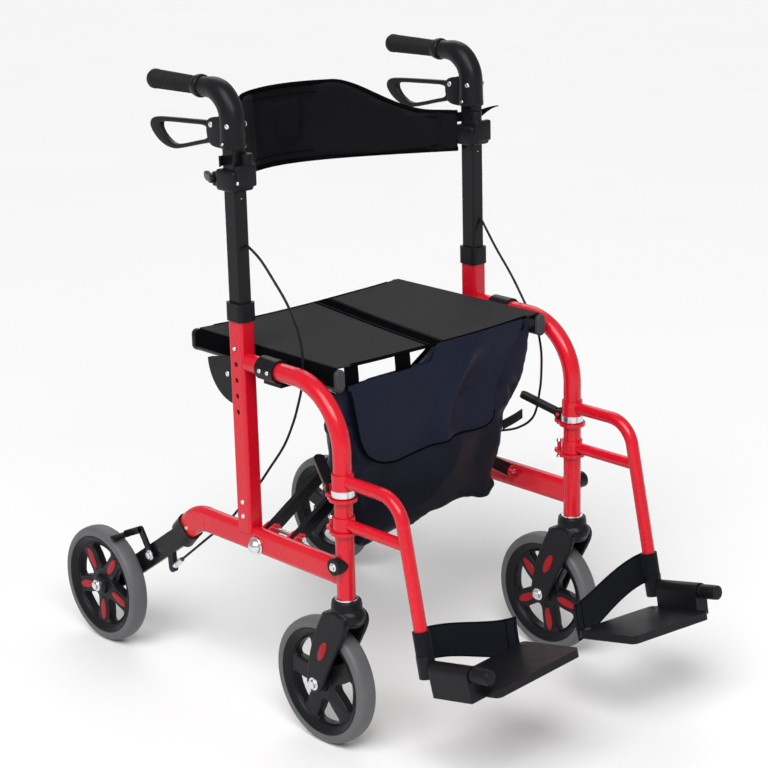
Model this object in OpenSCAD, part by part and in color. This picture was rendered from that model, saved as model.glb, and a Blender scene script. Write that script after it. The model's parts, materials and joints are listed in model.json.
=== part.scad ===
// Folding rollator that doubles as a transport chair.
// Front is +X, the left side is +Y, up is +Z, and the floor is z = 0.
// Lengths along X are counted from the handle uprights and then moved so that the origin
// lies under the middle of the whole chair.

/* [Side frame] */
// Distance from the middle plane to each side frame
frame_half_width = 244; // [230:1:260]
// Front tube ahead of the upright
front_tube_x = 221; // [205:1:240]
// Diameter of the front tube
front_tube_d = 28; // [25:0.5:30]
// Wall of the frame tubes
tube_wall = 2; // [1.5:0.1:2.5]
// Bend radius of the front tube
front_bend_r = 97; // [85:1:110]
// Level run of the front tube above the lower rail
top_run_rise = 282; // [270:1:295]
// Depth of the upright, front to back
upright_depth = 32; // [30:0.5:34]
// Width of the upright, side to side
upright_width = 27; // [25:0.5:28]
// Corner radius of the upright
upright_corner = 5; // [4:0.5:7]
// Top of the upright above the lower rail
upright_rise = 346; // [335:1:360]
// Height of the lower rail's section
rail_height = 42; // [38:1:44]
// Width of the lower rail's section
rail_width = 22; // [20:0.5:24]
// Lower rail above the end of the front tube
rail_rise = 40; // [36:1:46]
// Straight length of the lower rail behind the upright
rail_back = 104; // [90:1:120]
// Bend radius of the gooseneck tail
gooseneck_r = 70; // [60:1:80]
// Downward angle of the gooseneck tail
gooseneck_angle = 45; // [38:1:52]
// Straight end of the gooseneck tail
gooseneck_tail = 30; // [24:1:40]

/* [Handles] */
// Diameter of a height hole in the upright
height_hole_d = 8; // [7.5:0.1:9]
// Spacing of the height holes
height_hole_pitch = 25; // [20:1:30]
// Number of height holes
height_hole_count = 5; // [3:1:6]
// Highest height hole below the top of the upright
height_hole_drop = 42; // [36:1:50]
// Length of post inside the upright
post_insert = 181; // [160:1:200]
// Sliding gap round the post
post_gap = 0.15; // [0.1:0.05:0.3]
// Wall of the post
post_wall = 1.6; // [1.2:0.1:2]
// Height of the collar on the upright
collar_height = 28; // [22:1:34]
// Wall of the collar
collar_wall = 2.6; // [2:0.1:3]
// Grip axis above the upright
grip_rise = 344; // [330:1:380]
// Bend radius of the handle elbow
elbow_r = 45; // [40:1:50]
// Diameter of the elbow
elbow_d = 38; // [36:0.5:42]
// Straight body of the housing below the elbow
housing_height = 39; // [34:1:50]
// Diameter of the grip
grip_d = 30; // [28:0.5:34]
// Length of the grip
grip_length = 110; // [95:1:125]
// Diameter of the bar inside the grip
grip_bar_d = 22; // [19:0.5:25]
// Ring in front of the grip, length
grip_ring = 13; // [10:1:16]
// Thickness of the brake lever's bars, seen from the side
lever_bar = 9; // [7:0.5:11]
// Width of the brake lever across the handle
lever_width = 10; // [8:0.5:12]
// Brake lever's pin below the grip axis
lever_pivot_drop = 53; // [50:1:58]
// Brake lever's pin behind the upright
lever_pivot_back = 40; // [36:1:44]
// Length of the brake lever
lever_reach = 152; // [140:1:165]
// Depth of the brake lever's loop
lever_depth = 40; // [36:1:44]
// Diameter of the brake lever's pin
lever_pin_d = 6; // [5:0.5:7]
// Height of the backrest clamp
clamp_height = 33; // [28:1:40]
// Backrest clamp's top below the grip axis
clamp_drop = 115; // [105:1:125]
// Wall of the backrest clamp
clamp_wall = 6; // [4:0.5:6.5]

/* [Wheels] */
// Outer diameter of the wheels
wheel_d = 200; // [180:1:215]
// Width of the tyres
tyre_width = 32; // [28:0.5:36]
// Radial depth of the tyres
tyre_depth = 20; // [16:0.5:24]
// Radius of the tread's crown
tread_crown = 24; // [20:1:30]
// Depth of the rim's ring
rim_ring = 9; // [7:0.5:11]
// Number of spokes
spoke_count = 5; // [4:1:7]
// Width of a spoke
spoke_width = 25; // [20:0.5:28]
// Thickness of the spokes
spoke_depth = 18; // [12:0.5:22]
// Diameter of the hub
hub_d = 36; // [30:1:42]
// Diameter of the axle bolts
axle_d = 10; // [8:0.5:12]
// Rear axle behind the upright
rear_axle_back = 392; // [375:1:410]
// Rear wheels outboard of the side frame
rear_wheel_out = 8; // [7:0.5:12]
// Caster axle behind its swivel
caster_trail = 53; // [45:1:60]
// Gap between the front tyre and the fork's crown
fork_gap = 5; // [4:0.5:8]
// Height of the fork's crown
fork_crown = 40; // [34:1:46]
// Thickness of a fork leg
fork_leg = 9; // [7:0.5:11]
// Diameter of the swivel stem
stem_d = 16; // [14:0.5:18]
// Length of the swivel stem
stem_length = 50; // [40:1:60]

/* [Cross brace and seat] */
// Lower pivots of the scissor arms, inboard of the side frame
pivot_in = 22; // [21.5:0.1:24]
// Lower pivots above the lower rail
pivot_rise = 15; // [10:1:18]
// Seat rails inboard of the side frame
seat_rail_in = 33; // [32:0.5:36]
// Seat rails below the level run of the front tube
seat_rail_drop = 2; // [0:0.5:6]
// Height of a seat rail's section
seat_rail_height = 34; // [30:1:36]
// Width of a seat rail's section
seat_rail_width = 17; // [15:0.5:18]
// Front end of the seat ahead of the upright
seat_front = 178; // [165:1:190]
// Rear end of the seat behind the upright
seat_back = 148; // [135:1:160]
// Height of a scissor bar's section
arm_height = 20; // [17:0.5:20]
// Thickness of a scissor bar
arm_depth = 10; // [8:0.5:12]
// First scissor bar ahead of the upright
arm_x = 22; // [22:1:28]
// Spacing between the two bars of one arm
arm_spacing = 60; // [55:1:64]
// Diameter of the scissor pins
pin_d = 8; // [7:0.5:9]
// Thickness of the seat cloth
cloth_thick = 2.7; // [2:0.1:4]
// Sag of the seat in the middle
seat_sag = 9; // [0:1:16]
// Bottom of the bag below the seat rails
bag_drop = 266; // [250:1:280]
// How far the left side of the bag leans in, from top to bottom
bag_lean_left = 74; // [50:1:90]
// How far the right side of the bag leans in, from top to bottom
bag_lean_right = 10; // [5:1:40]
// Radius of the bag's lower corners
bag_corner = 34; // [25:1:45]
// Front of the bag ahead of the seat
bag_ahead = 6; // [2:1:10]
// Thickness of the bag's cloth
bag_wall = 2.5; // [2:0.5:4]
// Rearward bow of the backrest
back_bow = 180; // [150:1:195]
// Ends of the backrest behind the middle of the posts
back_end_back = 14; // [8:1:16]
// Lower edge of the backrest's ends below the clamps
back_drop = 6; // [0:1:10]
// Height of the backrest at its ends
back_end_height = 59; // [44:1:62]
// Height of the backrest in the middle
back_mid_height = 124; // [105:1:135]
// Lower edge of the backrest in the middle below its ends
back_dip = 13; // [0:1:20]
// Thickness of the backrest
back_thick = 7; // [5:0.5:9]

/* [Footrests] */
// Diameter of the hanger tube
hanger_d = 20; // [18:0.5:21]
// Diameter of the hanger's lower arm
hanger_arm_d = 18; // [16:0.5:18]
// Upper arm of the hanger above the lower rail
hanger_rise = 145; // [138:1:152]
// Lower arm below the upper arm
hanger_gap = 66; // [60:1:72]
// Straight upper arm ahead of the front tube
hanger_reach = 83; // [70:1:95]
// Bend radius of the hanger
hanger_bend_r = 45; // [38:1:50]
// Forward lean of the footrest, and toe-up tilt of its plate
foot_tilt = 12; // [8:0.5:15]
// Right spindle below the hanger's bend
right_foot_drop = 211; // [190:1:225]
// Left spindle below the hanger's bend
left_foot_drop = 229; // [200:1:240]
// Diameter of the footplate spindle
spindle_d = 16; // [14:0.5:18]
// Length of the footplate housing on the spindle
foot_housing = 80; // [70:1:90]
// Diameter of the spindle's knob
knob_d = 22; // [20:0.5:24]
// Length of the spindle's knob
knob_length = 33; // [26:1:38]
// Depth of the footplate, heel to toe
plate_depth = 116; // [100:1:125]
// Width of the footplate
plate_width = 171; // [150:1:174]
// Thickness of the footplate
plate_thick = 12; // [10:0.5:14]
// Top of the footplate below the spindle
plate_drop = 26; // [20:1:30]
// Upward tilt of the footplate's inner end
plate_roll = 3.5; // [0:0.5:5]
// Width of the heel strap
strap_width = 35; // [28:1:40]
// Thickness of the heel strap
strap_thick = 3; // [2:0.1:4]
// Heel strap's bow behind the hanger tube
strap_bow = 22; // [16:1:28]
// Thickness of a clamp flange
flange_thick = 5; // [4:0.5:6]
// Diameter of a clamp flange
flange_d = 42; // [40:1:46]
// Clamp pins behind the front tube
clamp_pin_back = 28; // [27:0.5:32]
// Diameter of the clamp pins
clamp_pin_d = 7; // [6:0.5:8]
// Length of the cam lever
cam_length = 62; // [50:1:70]
// Width of the cam lever
cam_width = 17; // [14:0.5:19]

/* [Cables] */
// Diameter of the brake cables
cable_d = 4; // [3.5:0.1:5]

/* [Hidden] */
$fn = 64;
right = -1;
left = 1;
// Gap between pieces that rest side by side, and radial gap of a running fit
rest_gap = 0.3;
run_gap = 0.05;
// The straight part of a flat bar is this much slimmer, each side, than its round ends
bar_waist = 0.2;

wheel_r = wheel_d / 2;
axle_z = wheel_r;
side_y = frame_half_width;
front_tube_r = front_tube_d / 2;
front_tube_bottom = wheel_d + fork_gap + fork_crown + rest_gap;
rail_z = front_tube_bottom + rail_rise;
top_run_z = rail_z + top_run_rise;
upright_top = rail_z + upright_rise;
top_hole_z = upright_top - height_hole_drop;
grip_z = upright_top + grip_rise;
pivot_y = side_y - pivot_in;
pivot_z = rail_z + pivot_rise;
seat_rail_y = side_y - seat_rail_in;
seat_rail_z = top_run_z - seat_rail_drop;
arm_slope = (seat_rail_z - pivot_z) / (pivot_y + seat_rail_y);
centre_z = pivot_z + pivot_y * arm_slope;
arm_step = arm_depth + 2;
arm_length = arm_spacing + arm_depth;
bar_starts = [arm_x, arm_x + arm_spacing];
lug_thick = 4;
bolt_head = 5;
centre_bolt_back = arm_x - rest_gap - bolt_head;
centre_bolt_front = arm_x + arm_step + arm_length + rest_gap + bolt_head;
rod_past = 10;

post_depth = upright_depth - 2 * tube_wall - 2 * post_gap;
post_width = upright_width - 2 * tube_wall - 2 * post_gap;
post_corner = upright_corner - tube_wall;
housing_bottom = grip_z - elbow_r - housing_height;
post_top = housing_bottom + housing_height / 2;
// Straight neck between the elbow and the ring, and thickness of the grip's closed end
grip_neck = 21;
grip_end = 6;
grip_front = -elbow_r - grip_neck - grip_ring;
grip_back = grip_front - grip_length;
clamp_top = grip_z - clamp_drop;

rear_wheel_y = side_y + rear_wheel_out;
tread_r = wheel_r - tyre_depth;
bracket_in = side_y - rail_width / 2;
bracket_thick = 8;
bracket_tail = [-rail_back - gooseneck_r * sin(gooseneck_angle) - gooseneck_tail * cos(gooseneck_angle) / 2,
    rail_z - gooseneck_r * (1 - cos(gooseneck_angle)) - gooseneck_tail * sin(gooseneck_angle) / 2];
rear_axle = [-rear_axle_back, axle_z];
// The shoe's pivot lies halfway from the gooseneck to the axle
shoe_pivot = bracket_tail + (rear_axle - bracket_tail) / 2;
shoe_angle = 64;
shoe_gap = 3;
shoe_thick = 8;
shoe_length = 26;
// Cable adjuster: an ear below the bracket, with a barrel that points up and forward
ear_root = bracket_tail + (rear_axle - bracket_tail) * 0.3;
ear_reach = [4, -42];
ear_tip = ear_root + ear_reach;
barrel_length = 34;
barrel_d = 7;
barrel_turn = 50;

hanger_z = rail_z + hanger_rise;
hanger_low_z = hanger_z - hanger_gap;
hanger_r = hanger_d / 2;
sleeve_r = front_tube_r + 2.5;
// Each sleeve of the hanger stands on a flange of the clamp, this far below its arm
sleeve_below = [1, 15];
flange_z = [hanger_low_z - hanger_arm_d / 2 - sleeve_below[0] - flange_thick,
    hanger_z - hanger_r - sleeve_below[1] - flange_thick];
cam_pin_d = 6;
cam_pin_rise = 9;
cam_lug = 6;
cam_turn = 205;
bend_x = front_tube_x + hanger_reach;
bend_end = [bend_x + hanger_bend_r * cos(foot_tilt), hanger_z - hanger_bend_r * (1 - sin(foot_tilt))];
socket_r = hanger_r + 3.5;
// The hanger tube ends this far above the spindle's surface, in a socket of this depth
tube_stop = 4;
socket_depth = 8;
knob_start = socket_r + 2 * rest_gap + 2 + foot_housing;
knob_end = knob_start + rest_gap + knob_length;
plate_back = 6;
plate_side = 15;
front_reach = bend_end[0] + max(right_foot_drop, left_foot_drop) * sin(foot_tilt)
    + knob_end * cos(foot_tilt) + knob_d / 2 * sin(foot_tilt);
rear_reach = rear_axle_back + wheel_r;
origin_x = (rear_reach - front_reach) / 2;

// Brake cable routes: distance ahead of the upright, inboard of the side frame, height.
// The right cable goes down inside the front tube, and the left one outside it.
right_route = [[15.3, 6, 746], [42, 7, 730], [70, 8, 703], [98, 11, 668], [115, 15.5, 625], [120, 17.4, 585],
    [116, 17.4, 550], [106, 17, 518], [94, 16, 487], [70, 16, 445], [33, 16, 400], [0, 16.5, 362],
    [-32, 16.5, 331], [-62, 16.5, 296], [-95, 16, 258], [-130, 15, 226], [-166, 15, 204]];
left_route = [[15.5, -4, 706], [42, -10, 662], [72, -17, 617], [100, -19, 575], [125, -18, 543],
    [141, -12, 510], [147, -7, 478], [146, -4, 441], [133, -3, 389], [104, 6, 347], [62, 14.5, 331],
    [20, 16.5, 322], [-25, 16.5, 305], [-62, 16.5, 280], [-95, 16, 251], [-130, 15, 223], [-166, 15, 203]];

red_paint = "#d3202a";
black_plastic = "#1d1d20";
black_metal = "#242427";
grey_rubber = "#66666a";
dark_cloth = "#46474b";
navy_cloth = "#1b1d29";
bright_steel = "#c9ccd0";

function foot_drop(side) = side < 0 ? right_foot_drop : left_foot_drop;
function spindle_at(side) = [bend_end[0] + foot_drop(side) * sin(foot_tilt),
    bend_end[1] - foot_drop(side) * cos(foot_tilt)];
function arm_of(side) = side < 0 ? 0 : arm_step;

// Every side piece is drawn on the left and mirrored for the right
module on_side(side) {
    translate([origin_x, 0, 0])
        if (side > 0) children();
        else mirror([0, 1, 0]) children();
}

module in_middle() {
    translate([origin_x, 0, 0]) children();
}

// Turns a flat outline of (x, z) into a plate of the given width, centred on y
module side_plate(y, width) {
    translate([0, y + width / 2, 0]) rotate([90, 0, 0]) linear_extrude(width) children();
}

// Turns a flat outline of (y, z) into a plate from x to x + width
module cross_plate(x, width) {
    translate([x, 0, 0]) rotate([90, 0, 90]) linear_extrude(width) children();
}

// Turns a flat outline of (radius, width) into a ring about a line along y
module about_y(x, y, z) {
    translate([x, y, z]) rotate([90, 0, 0]) children();
}

module along_x(x, y, z, length, d) {
    translate([x, y, z]) rotate([0, 90, 0]) cylinder(h = length, d = d);
}

module along_y(x, y, z, length, d) {
    translate([x, y, z]) rotate([-90, 0, 0]) cylinder(h = length, d = d);
}

// Running bores: along the whole chair, and across one side of it
module bore_x(y, z, d) {
    along_x(-seat_back, y, z, seat_back + front_tube_x, d + 2 * run_gap);
}

module bore_y(x, z, d) {
    along_y(x, 0, z, 2 * side_y, d + 2 * run_gap);
}

// Straight bar with round ends
module bar2d(p, q, width) {
    run = q - p;
    waist = width - 2 * bar_waist;
    translate(p) circle(d = width);
    translate(q) circle(d = width);
    translate(p) rotate(atan2(run[1], run[0])) translate([0, -waist / 2]) square([norm(run), waist]);
}

module stadium2d(length, width) {
    square([length - width, width], center = true);
    for (end = [-1, 1]) translate([end * (length - width) / 2, 0]) circle(d = width);
}

module round_rect2d(depth, width, r) {
    square([depth - 2 * r, width], center = true);
    square([depth, width - 2 * r], center = true);
    for (x = [-1, 1], y = [-1, 1]) translate([x * (depth / 2 - r), y * (width / 2 - r)]) circle(r);
}

// Side frame

module front_tube_run(d, low) {
    centre_x = front_tube_x - front_bend_r;
    translate([front_tube_x, side_y, low]) cylinder(h = top_run_z - front_bend_r - low, d = d);
    about_y(centre_x, side_y, top_run_z - front_bend_r)
        rotate_extrude(angle = 90) translate([front_bend_r, 0]) circle(d = d);
    along_x(upright_depth / 2, side_y, top_run_z, centre_x - upright_depth / 2, d);
}

module front_tube(side) {
    plug = stem_length + 8;
    color(red_paint) on_side(side) difference() {
        front_tube_run(front_tube_d, front_tube_bottom);
        front_tube_run(front_tube_d - 2 * tube_wall, front_tube_bottom + plug);
        translate([front_tube_x, side_y, front_tube_bottom - 1])
            cylinder(h = stem_length + 2, d = stem_d + 2 * run_gap);
    }
}

module rail_section2d(inset) {
    stadium2d(rail_height - 2 * inset, rail_width - 2 * inset);
}

// The straight parts of the rail are a little slimmer than its bend and enter it
module rail_run(inset, past) {
    enters = 2;
    slim = inset + rest_gap;
    translate([front_tube_x, side_y, rail_z]) rotate([0, -90, 0])
        linear_extrude(front_tube_x + rail_back + enters) rail_section2d(slim);
    about_y(-rail_back, side_y, rail_z - gooseneck_r)
        rotate([0, 0, 90]) rotate_extrude(angle = gooseneck_angle)
            translate([gooseneck_r, 0]) rail_section2d(inset);
    on_tail(enters) linear_extrude(enters + gooseneck_tail + past) rail_section2d(slim);
}

// Frame of the gooseneck's straight end: z along it, from a place this far inside the bend
module on_tail(enters) {
    translate([-rail_back, side_y, rail_z - gooseneck_r]) rotate([0, -gooseneck_angle, 0])
        translate([enters, 0, gooseneck_r]) rotate([0, -90, 0]) children();
}

module pivot_lug2d() {
    bar2d([pivot_y, pivot_z], [side_y - rail_width / 4, pivot_z - pivot_rise / 2], arm_height - 2);
}

module lower_rail(side) {
    color(red_paint) on_side(side) difference() {
        union() {
            rail_run(0, 0);
            for (bar = bar_starts, face = [-lug_thick - rest_gap, arm_depth + rest_gap])
                cross_plate(bar + arm_of(side) + face, lug_thick) pivot_lug2d();
        }
        rail_run(tube_wall, 1);
        translate([front_tube_x, side_y, rail_z - rail_height])
            cylinder(h = 2 * rail_height, d = front_tube_d);
        bore_x(pivot_y, pivot_z, pin_d);
    }
}

module upright_section2d(inset) {
    round_rect2d(upright_depth - 2 * inset, upright_width - 2 * inset, upright_corner - inset);
}

module upright(side) {
    foot_z = rail_z + rail_height / 4;
    floor_z = rail_z + rail_height / 2 + tube_wall;
    color(red_paint) on_side(side) difference() {
        translate([0, side_y, foot_z]) linear_extrude(upright_top - foot_z) upright_section2d(0);
        translate([0, side_y, floor_z]) linear_extrude(upright_top) upright_section2d(tube_wall);
        translate([upright_depth, side_y, rail_z]) rotate([0, -90, 0])
            linear_extrude(2 * upright_depth) rail_section2d(0);
        for (hole = [0 : height_hole_count - 1])
            along_y(0, side_y, top_hole_z - hole * height_hole_pitch, upright_width, height_hole_d);
    }
}

module post_collar(side) {
    color(black_plastic) on_side(side) translate([0, side_y, upright_top]) linear_extrude(collar_height)
        difference() {
            upright_section2d(-collar_wall);
            round_rect2d(post_depth + 2 * post_gap, post_width + 2 * post_gap, post_corner);
        }
}

module seat_saddle(side) {
    saddle_x = 48;
    saddle_length = 40;
    shelf_top = seat_rail_z - seat_rail_height / 2 - rest_gap;
    shelf_thick = 6;
    shelf_in = seat_rail_y - seat_rail_width / 2;
    color(black_plastic) on_side(side) difference() {
        union() {
            along_x(saddle_x, side_y, top_run_z, saddle_length, front_tube_d + 8);
            translate([saddle_x, shelf_in, shelf_top - shelf_thick])
                cube([saddle_length, side_y - shelf_in, shelf_thick]);
            translate([saddle_x, side_y - front_tube_r, shelf_top - shelf_thick])
                cube([saddle_length, front_tube_r, top_run_z - front_tube_r - shelf_top + shelf_thick]);
        }
        along_x(saddle_x - 1, side_y, top_run_z, saddle_length + 2, front_tube_d);
    }
}

module rear_bracket(side) {
    plate_height = 34;
    boss_d = 24;
    boss_in = bracket_in - bracket_thick / 2;
    boss_out = rear_wheel_y - tyre_width / 2 - rest_gap;
    ear_width = 15;
    cap_wall = 3;
    cap_start = 6;
    color(black_metal) on_side(side) difference() {
        union() {
            side_plate(bracket_in - bracket_thick / 2, bracket_thick) {
                bar2d(bracket_tail, rear_axle, plate_height);
                bar2d(ear_root, ear_tip, ear_width);
            }
            along_y(rear_axle[0], boss_in, rear_axle[1], boss_out - boss_in, boss_d);
            translate([ear_tip[0], boss_in, ear_tip[1]])
                rotate([0, barrel_turn, 0]) cylinder(h = barrel_length, d = barrel_d);
            on_tail(-cap_start) linear_extrude(gooseneck_tail - cap_start + cap_wall)
                rail_section2d(-cap_wall);
        }
        on_tail(0) linear_extrude(gooseneck_tail + rest_gap) rail_section2d(-run_gap);
        bore_y(rear_axle[0], rear_axle[1], axle_d);
        bore_y(shoe_pivot[0], shoe_pivot[1], pin_d);
    }
}

// Rear axle bolt with head and nut, the pin of the scissor arm, and the dome cap on the rail
module frame_bolts(side) {
    axle_in = bracket_in - bracket_thick;
    axle_out = rear_wheel_y + tyre_width / 2 + rest_gap;
    dome_d = 26;
    dome_x = 26;
    dome_z = rail_z - 6;
    color(bright_steel) on_side(side) {
        along_y(rear_axle[0], axle_in - bolt_head, rear_axle[1], axle_out - axle_in + 2 * bolt_head, axle_d);
        for (end = [axle_in - bolt_head, axle_out])
            along_y(rear_axle[0], end, rear_axle[1], bolt_head, 2 * axle_d);
        along_x(arm_x + arm_of(side) - rod_past, pivot_y, pivot_z, arm_length + 2 * rod_past, pin_d);
        difference() {
            translate([dome_x, side_y + rail_width / 2, dome_z]) sphere(d = dome_d);
            translate([dome_x - dome_d, side_y + rail_width / 2 - dome_d, dome_z - dome_d])
                cube([2 * dome_d, dome_d, 2 * dome_d]);
        }
    }
}

module frame_guards(side) {
    fan_r = 66;
    fan_z = top_run_z - 6;
    fan_thick = 8;
    fan_lap = 10;
    bumper_d = 26;
    bumper_out = 10;
    bumper_rise = 17;
    bumper_z = rail_z + bumper_rise;
    color(black_plastic) on_side(side) {
        side_plate(side_y, fan_thick) intersection() {
            translate([-upright_depth / 2, fan_z]) circle(fan_r);
            polygon([[-upright_depth / 2, fan_z + fan_lap], [-upright_depth / 2, fan_z - 2 * fan_r],
                [-upright_depth / 2 - fan_r / 2, fan_z - 2 * fan_r],
                [-upright_depth / 2 - 2 * fan_r, fan_z - fan_r / 4]]);
        }
        difference() {
            along_y(front_tube_x, side_y, bumper_z, front_tube_r + bumper_out, bumper_d);
            translate([front_tube_x, side_y, rail_z - rail_height])
                cylinder(h = 2 * rail_height, d = front_tube_d);
            translate([front_tube_x, side_y, rail_z]) rotate([0, -90, 0])
                linear_extrude(front_tube_x) rail_section2d(0);
        }
    }
}

// Brake cables

// Smooth curve through four neighbouring points of a route
function curve(a, b, c, d, t) = 0.5 * (2 * b + (c - a) * t + (2 * a - 5 * b + 4 * c - d) * t * t
    + (3 * b - a - 3 * c + d) * t * t * t);
function clip(list, i) = list[max(0, min(len(list) - 1, i))];
function unit(v) = v / norm(v);

// Place of a route's point in space, for the left side
function route_point(p) = [p[0], side_y - p[1], p[2]];

// The route ends against the adjuster barrel of the rear bracket
barrel_tip = [ear_tip[0] + (barrel_length + rest_gap) * sin(barrel_turn), bracket_in - bracket_thick / 2,
    ear_tip[1] + (barrel_length + rest_gap) * cos(barrel_turn)];

function smooth_path(points, steps) = [for (i = [0 : len(points) - 2], k = [0 : steps - 1])
    curve(clip(points, i - 1), points[i], points[i + 1], clip(points, i + 2), k / steps),
    points[len(points) - 1]];

module swept_tube(path, d, sides) {
    count = len(path);
    ahead = [for (i = [0 : count - 1]) unit(clip(path, i + 1) - clip(path, i - 1))];
    across = [for (i = [0 : count - 1]) unit(cross(ahead[i], [0, 1, 0]))];
    other = [for (i = [0 : count - 1]) cross(ahead[i], across[i])];
    rings = [for (i = [0 : count - 1], k = [0 : sides - 1])
        path[i] + d / 2 * (across[i] * cos(360 * k / sides) + other[i] * sin(360 * k / sides))];
    walls = [for (i = [0 : count - 2], k = [0 : sides - 1])
        [i * sides + k, (i + 1) * sides + k, (i + 1) * sides + (k + 1) % sides, i * sides + (k + 1) % sides]];
    triangles = [for (w = walls, half = [[w[0], w[1], w[2]], [w[0], w[2], w[3]]]) half];
    polyhedron(concat(rings, [path[0], path[count - 1]]), concat(triangles,
        [for (k = [0 : sides - 1]) [count * sides, k, (k + 1) % sides]],
        [for (k = [0 : sides - 1]) [count * sides + 1, (count - 1) * sides + (k + 1) % sides,
            (count - 1) * sides + k]]));
}

module brake_cable(side) {
    route = side < 0 ? right_route : left_route;
    path = smooth_path(concat([for (p = route) route_point(p)], [barrel_tip]), 2);
    color(black_plastic) on_side(side) swept_tube(path, cable_d, 8);
}

// Wheels

module tyre_ring() {
    rotate_extrude() intersection() {
        translate([tread_r, -tyre_width / 2]) square([tyre_depth, tyre_width]);
        translate([wheel_r - tread_crown, 0]) circle(tread_crown);
    }
}

module rim_solid() {
    ring_width = tyre_width - 8;
    linear_extrude(ring_width, center = true) difference() {
        circle(tread_r);
        circle(tread_r - rim_ring);
    }
    linear_extrude(spoke_depth, center = true) intersection() {
        circle(tread_r - rim_ring / 2);
        for (spoke = [0 : spoke_count - 1])
            rotate(90 + spoke * 360 / spoke_count)
                translate([0, -spoke_width / 2]) square([tread_r, spoke_width]);
    }
    cylinder(h = tyre_width, d = hub_d, center = true);
}

module rim_at(x, y) {
    about_y(x, y, axle_z) difference() {
        rim_solid();
        cylinder(h = tyre_width * 2, d = axle_d + 2 * run_gap, center = true);
    }
}

module rear_tyre(side) {
    color(grey_rubber) on_side(side) about_y(-rear_axle_back, rear_wheel_y, axle_z) tyre_ring();
}

module rear_rim(side) {
    color(black_plastic) on_side(side) rim_at(-rear_axle_back, rear_wheel_y);
}

module front_tyre(side) {
    color(grey_rubber) on_side(side) about_y(front_tube_x - caster_trail, side_y, axle_z) tyre_ring();
}

module front_rim(side) {
    color(black_plastic) on_side(side) rim_at(front_tube_x - caster_trail, side_y);
}

module caster_fork(side) {
    hood_back = 18;
    axle_x = front_tube_x - caster_trail;
    leg_in = tyre_width / 2 + rest_gap;
    crown_low = wheel_d + fork_gap;
    crown_top = crown_low + fork_crown;
    crown_d = 2 * (leg_in + fork_leg);
    leg_width = 32;
    knee = [front_tube_x - 8, crown_low + 4];
    nut = 4;
    nut_d = 17;
    bolt_reach = leg_in + fork_leg + nut;
    color(black_plastic) on_side(side) {
        difference() {
            union() {
                translate([front_tube_x, side_y, crown_low]) cylinder(h = fork_crown, d = crown_d);
                translate([front_tube_x, side_y, crown_top]) cylinder(h = stem_length - 2, d = stem_d);
                for (face = [-1, 1])
                    side_plate(side_y + face * (leg_in + fork_leg / 2), fork_leg) {
                        bar2d([axle_x, axle_z], knee, leg_width);
                        bar2d([front_tube_x - hood_back, crown_low + fork_crown / 4],
                            [front_tube_x, crown_low + fork_crown / 4], fork_crown / 2);
                    }
            }
            bore_y(axle_x, axle_z, axle_d);
        }
        along_y(axle_x, side_y - bolt_reach, axle_z, 2 * bolt_reach, axle_d);
        for (start = [-bolt_reach, bolt_reach - nut]) along_y(axle_x, side_y + start, axle_z, nut, nut_d);
    }
}

// Handles

module post_section2d(inset) {
    round_rect2d(post_depth - 2 * inset, post_width - 2 * inset, max(post_corner - inset, 0.5));
}

module handle_post(side) {
    low = upright_top - post_insert;
    color(black_metal) on_side(side) difference() {
        translate([0, side_y, low]) linear_extrude(post_top - low) post_section2d(0);
        translate([0, side_y, low - 1]) linear_extrude(post_top) post_section2d(post_wall);
        along_y(0, side_y, top_hole_z, upright_width, height_hole_d - 2 * rest_gap);
    }
}

module height_button(side) {
    stem = height_hole_d - 4 * rest_gap;
    wall_in = side_y + post_width / 2 - post_wall;
    flange = 2;
    start = wall_in - rest_gap - flange;
    stem_past = 2;
    color(bright_steel) on_side(side) {
        along_y(0, start, top_hole_z, flange + rest_gap + post_wall + tube_wall + stem_past, stem);
        along_y(0, start, top_hole_z, flange, stem + 3);
    }
}

lever_pivot = [-lever_pivot_back, grip_z - lever_pivot_drop];

module handle_housing(side) {
    body_depth = 41;
    body_width = 37;
    body_back = 1;
    body_corner = 15;
    cheek = 4;
    cheek_root = [-10, lever_pivot[1] - 8];
    cheek_bars = [24, 20];
    cheek_step = [0, -14];
    neck_d = 34;
    ring_d = grip_d + 5;
    cheek_y = lever_width / 2 + rest_gap + cheek / 2;
    color(black_plastic) on_side(side) difference() {
        union() {
            translate([-body_back, side_y, housing_bottom]) linear_extrude(housing_height)
                round_rect2d(body_depth, body_width, body_corner);
            about_y(-elbow_r, side_y, grip_z - elbow_r) rotate_extrude(angle = 90)
                translate([elbow_r, 0]) circle(d = elbow_d);
            along_x(grip_front, side_y, grip_z, -grip_front - elbow_r, neck_d);
            along_x(grip_front, side_y, grip_z, grip_ring, ring_d);
            along_x(grip_back + grip_end, side_y, grip_z, grip_length, grip_bar_d);
            for (face = [-1, 1]) side_plate(side_y + face * cheek_y, cheek) {
                bar2d(cheek_root, lever_pivot, cheek_bars[0]);
                bar2d(cheek_root + cheek_step / 2, lever_pivot + cheek_step, cheek_bars[1]);
            }
            along_y(lever_pivot[0], side_y - cheek_y, lever_pivot[1], 2 * cheek_y, lever_pin_d);
        }
        translate([0, side_y, housing_bottom - 1])
            linear_extrude(post_top - housing_bottom + 1) post_section2d(0);
    }
}

module grip(side) {
    cap_step = 4;
    cap_d = grip_d - 6;
    color(black_plastic) on_side(side) difference() {
        union() {
            along_x(grip_back + cap_step, side_y, grip_z, grip_length - cap_step, grip_d);
            along_x(grip_back, side_y, grip_z, 2 * cap_step, cap_d);
        }
        along_x(grip_back + grip_end - rest_gap, side_y, grip_z, grip_length, grip_bar_d + 2 * run_gap);
    }
}

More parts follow.
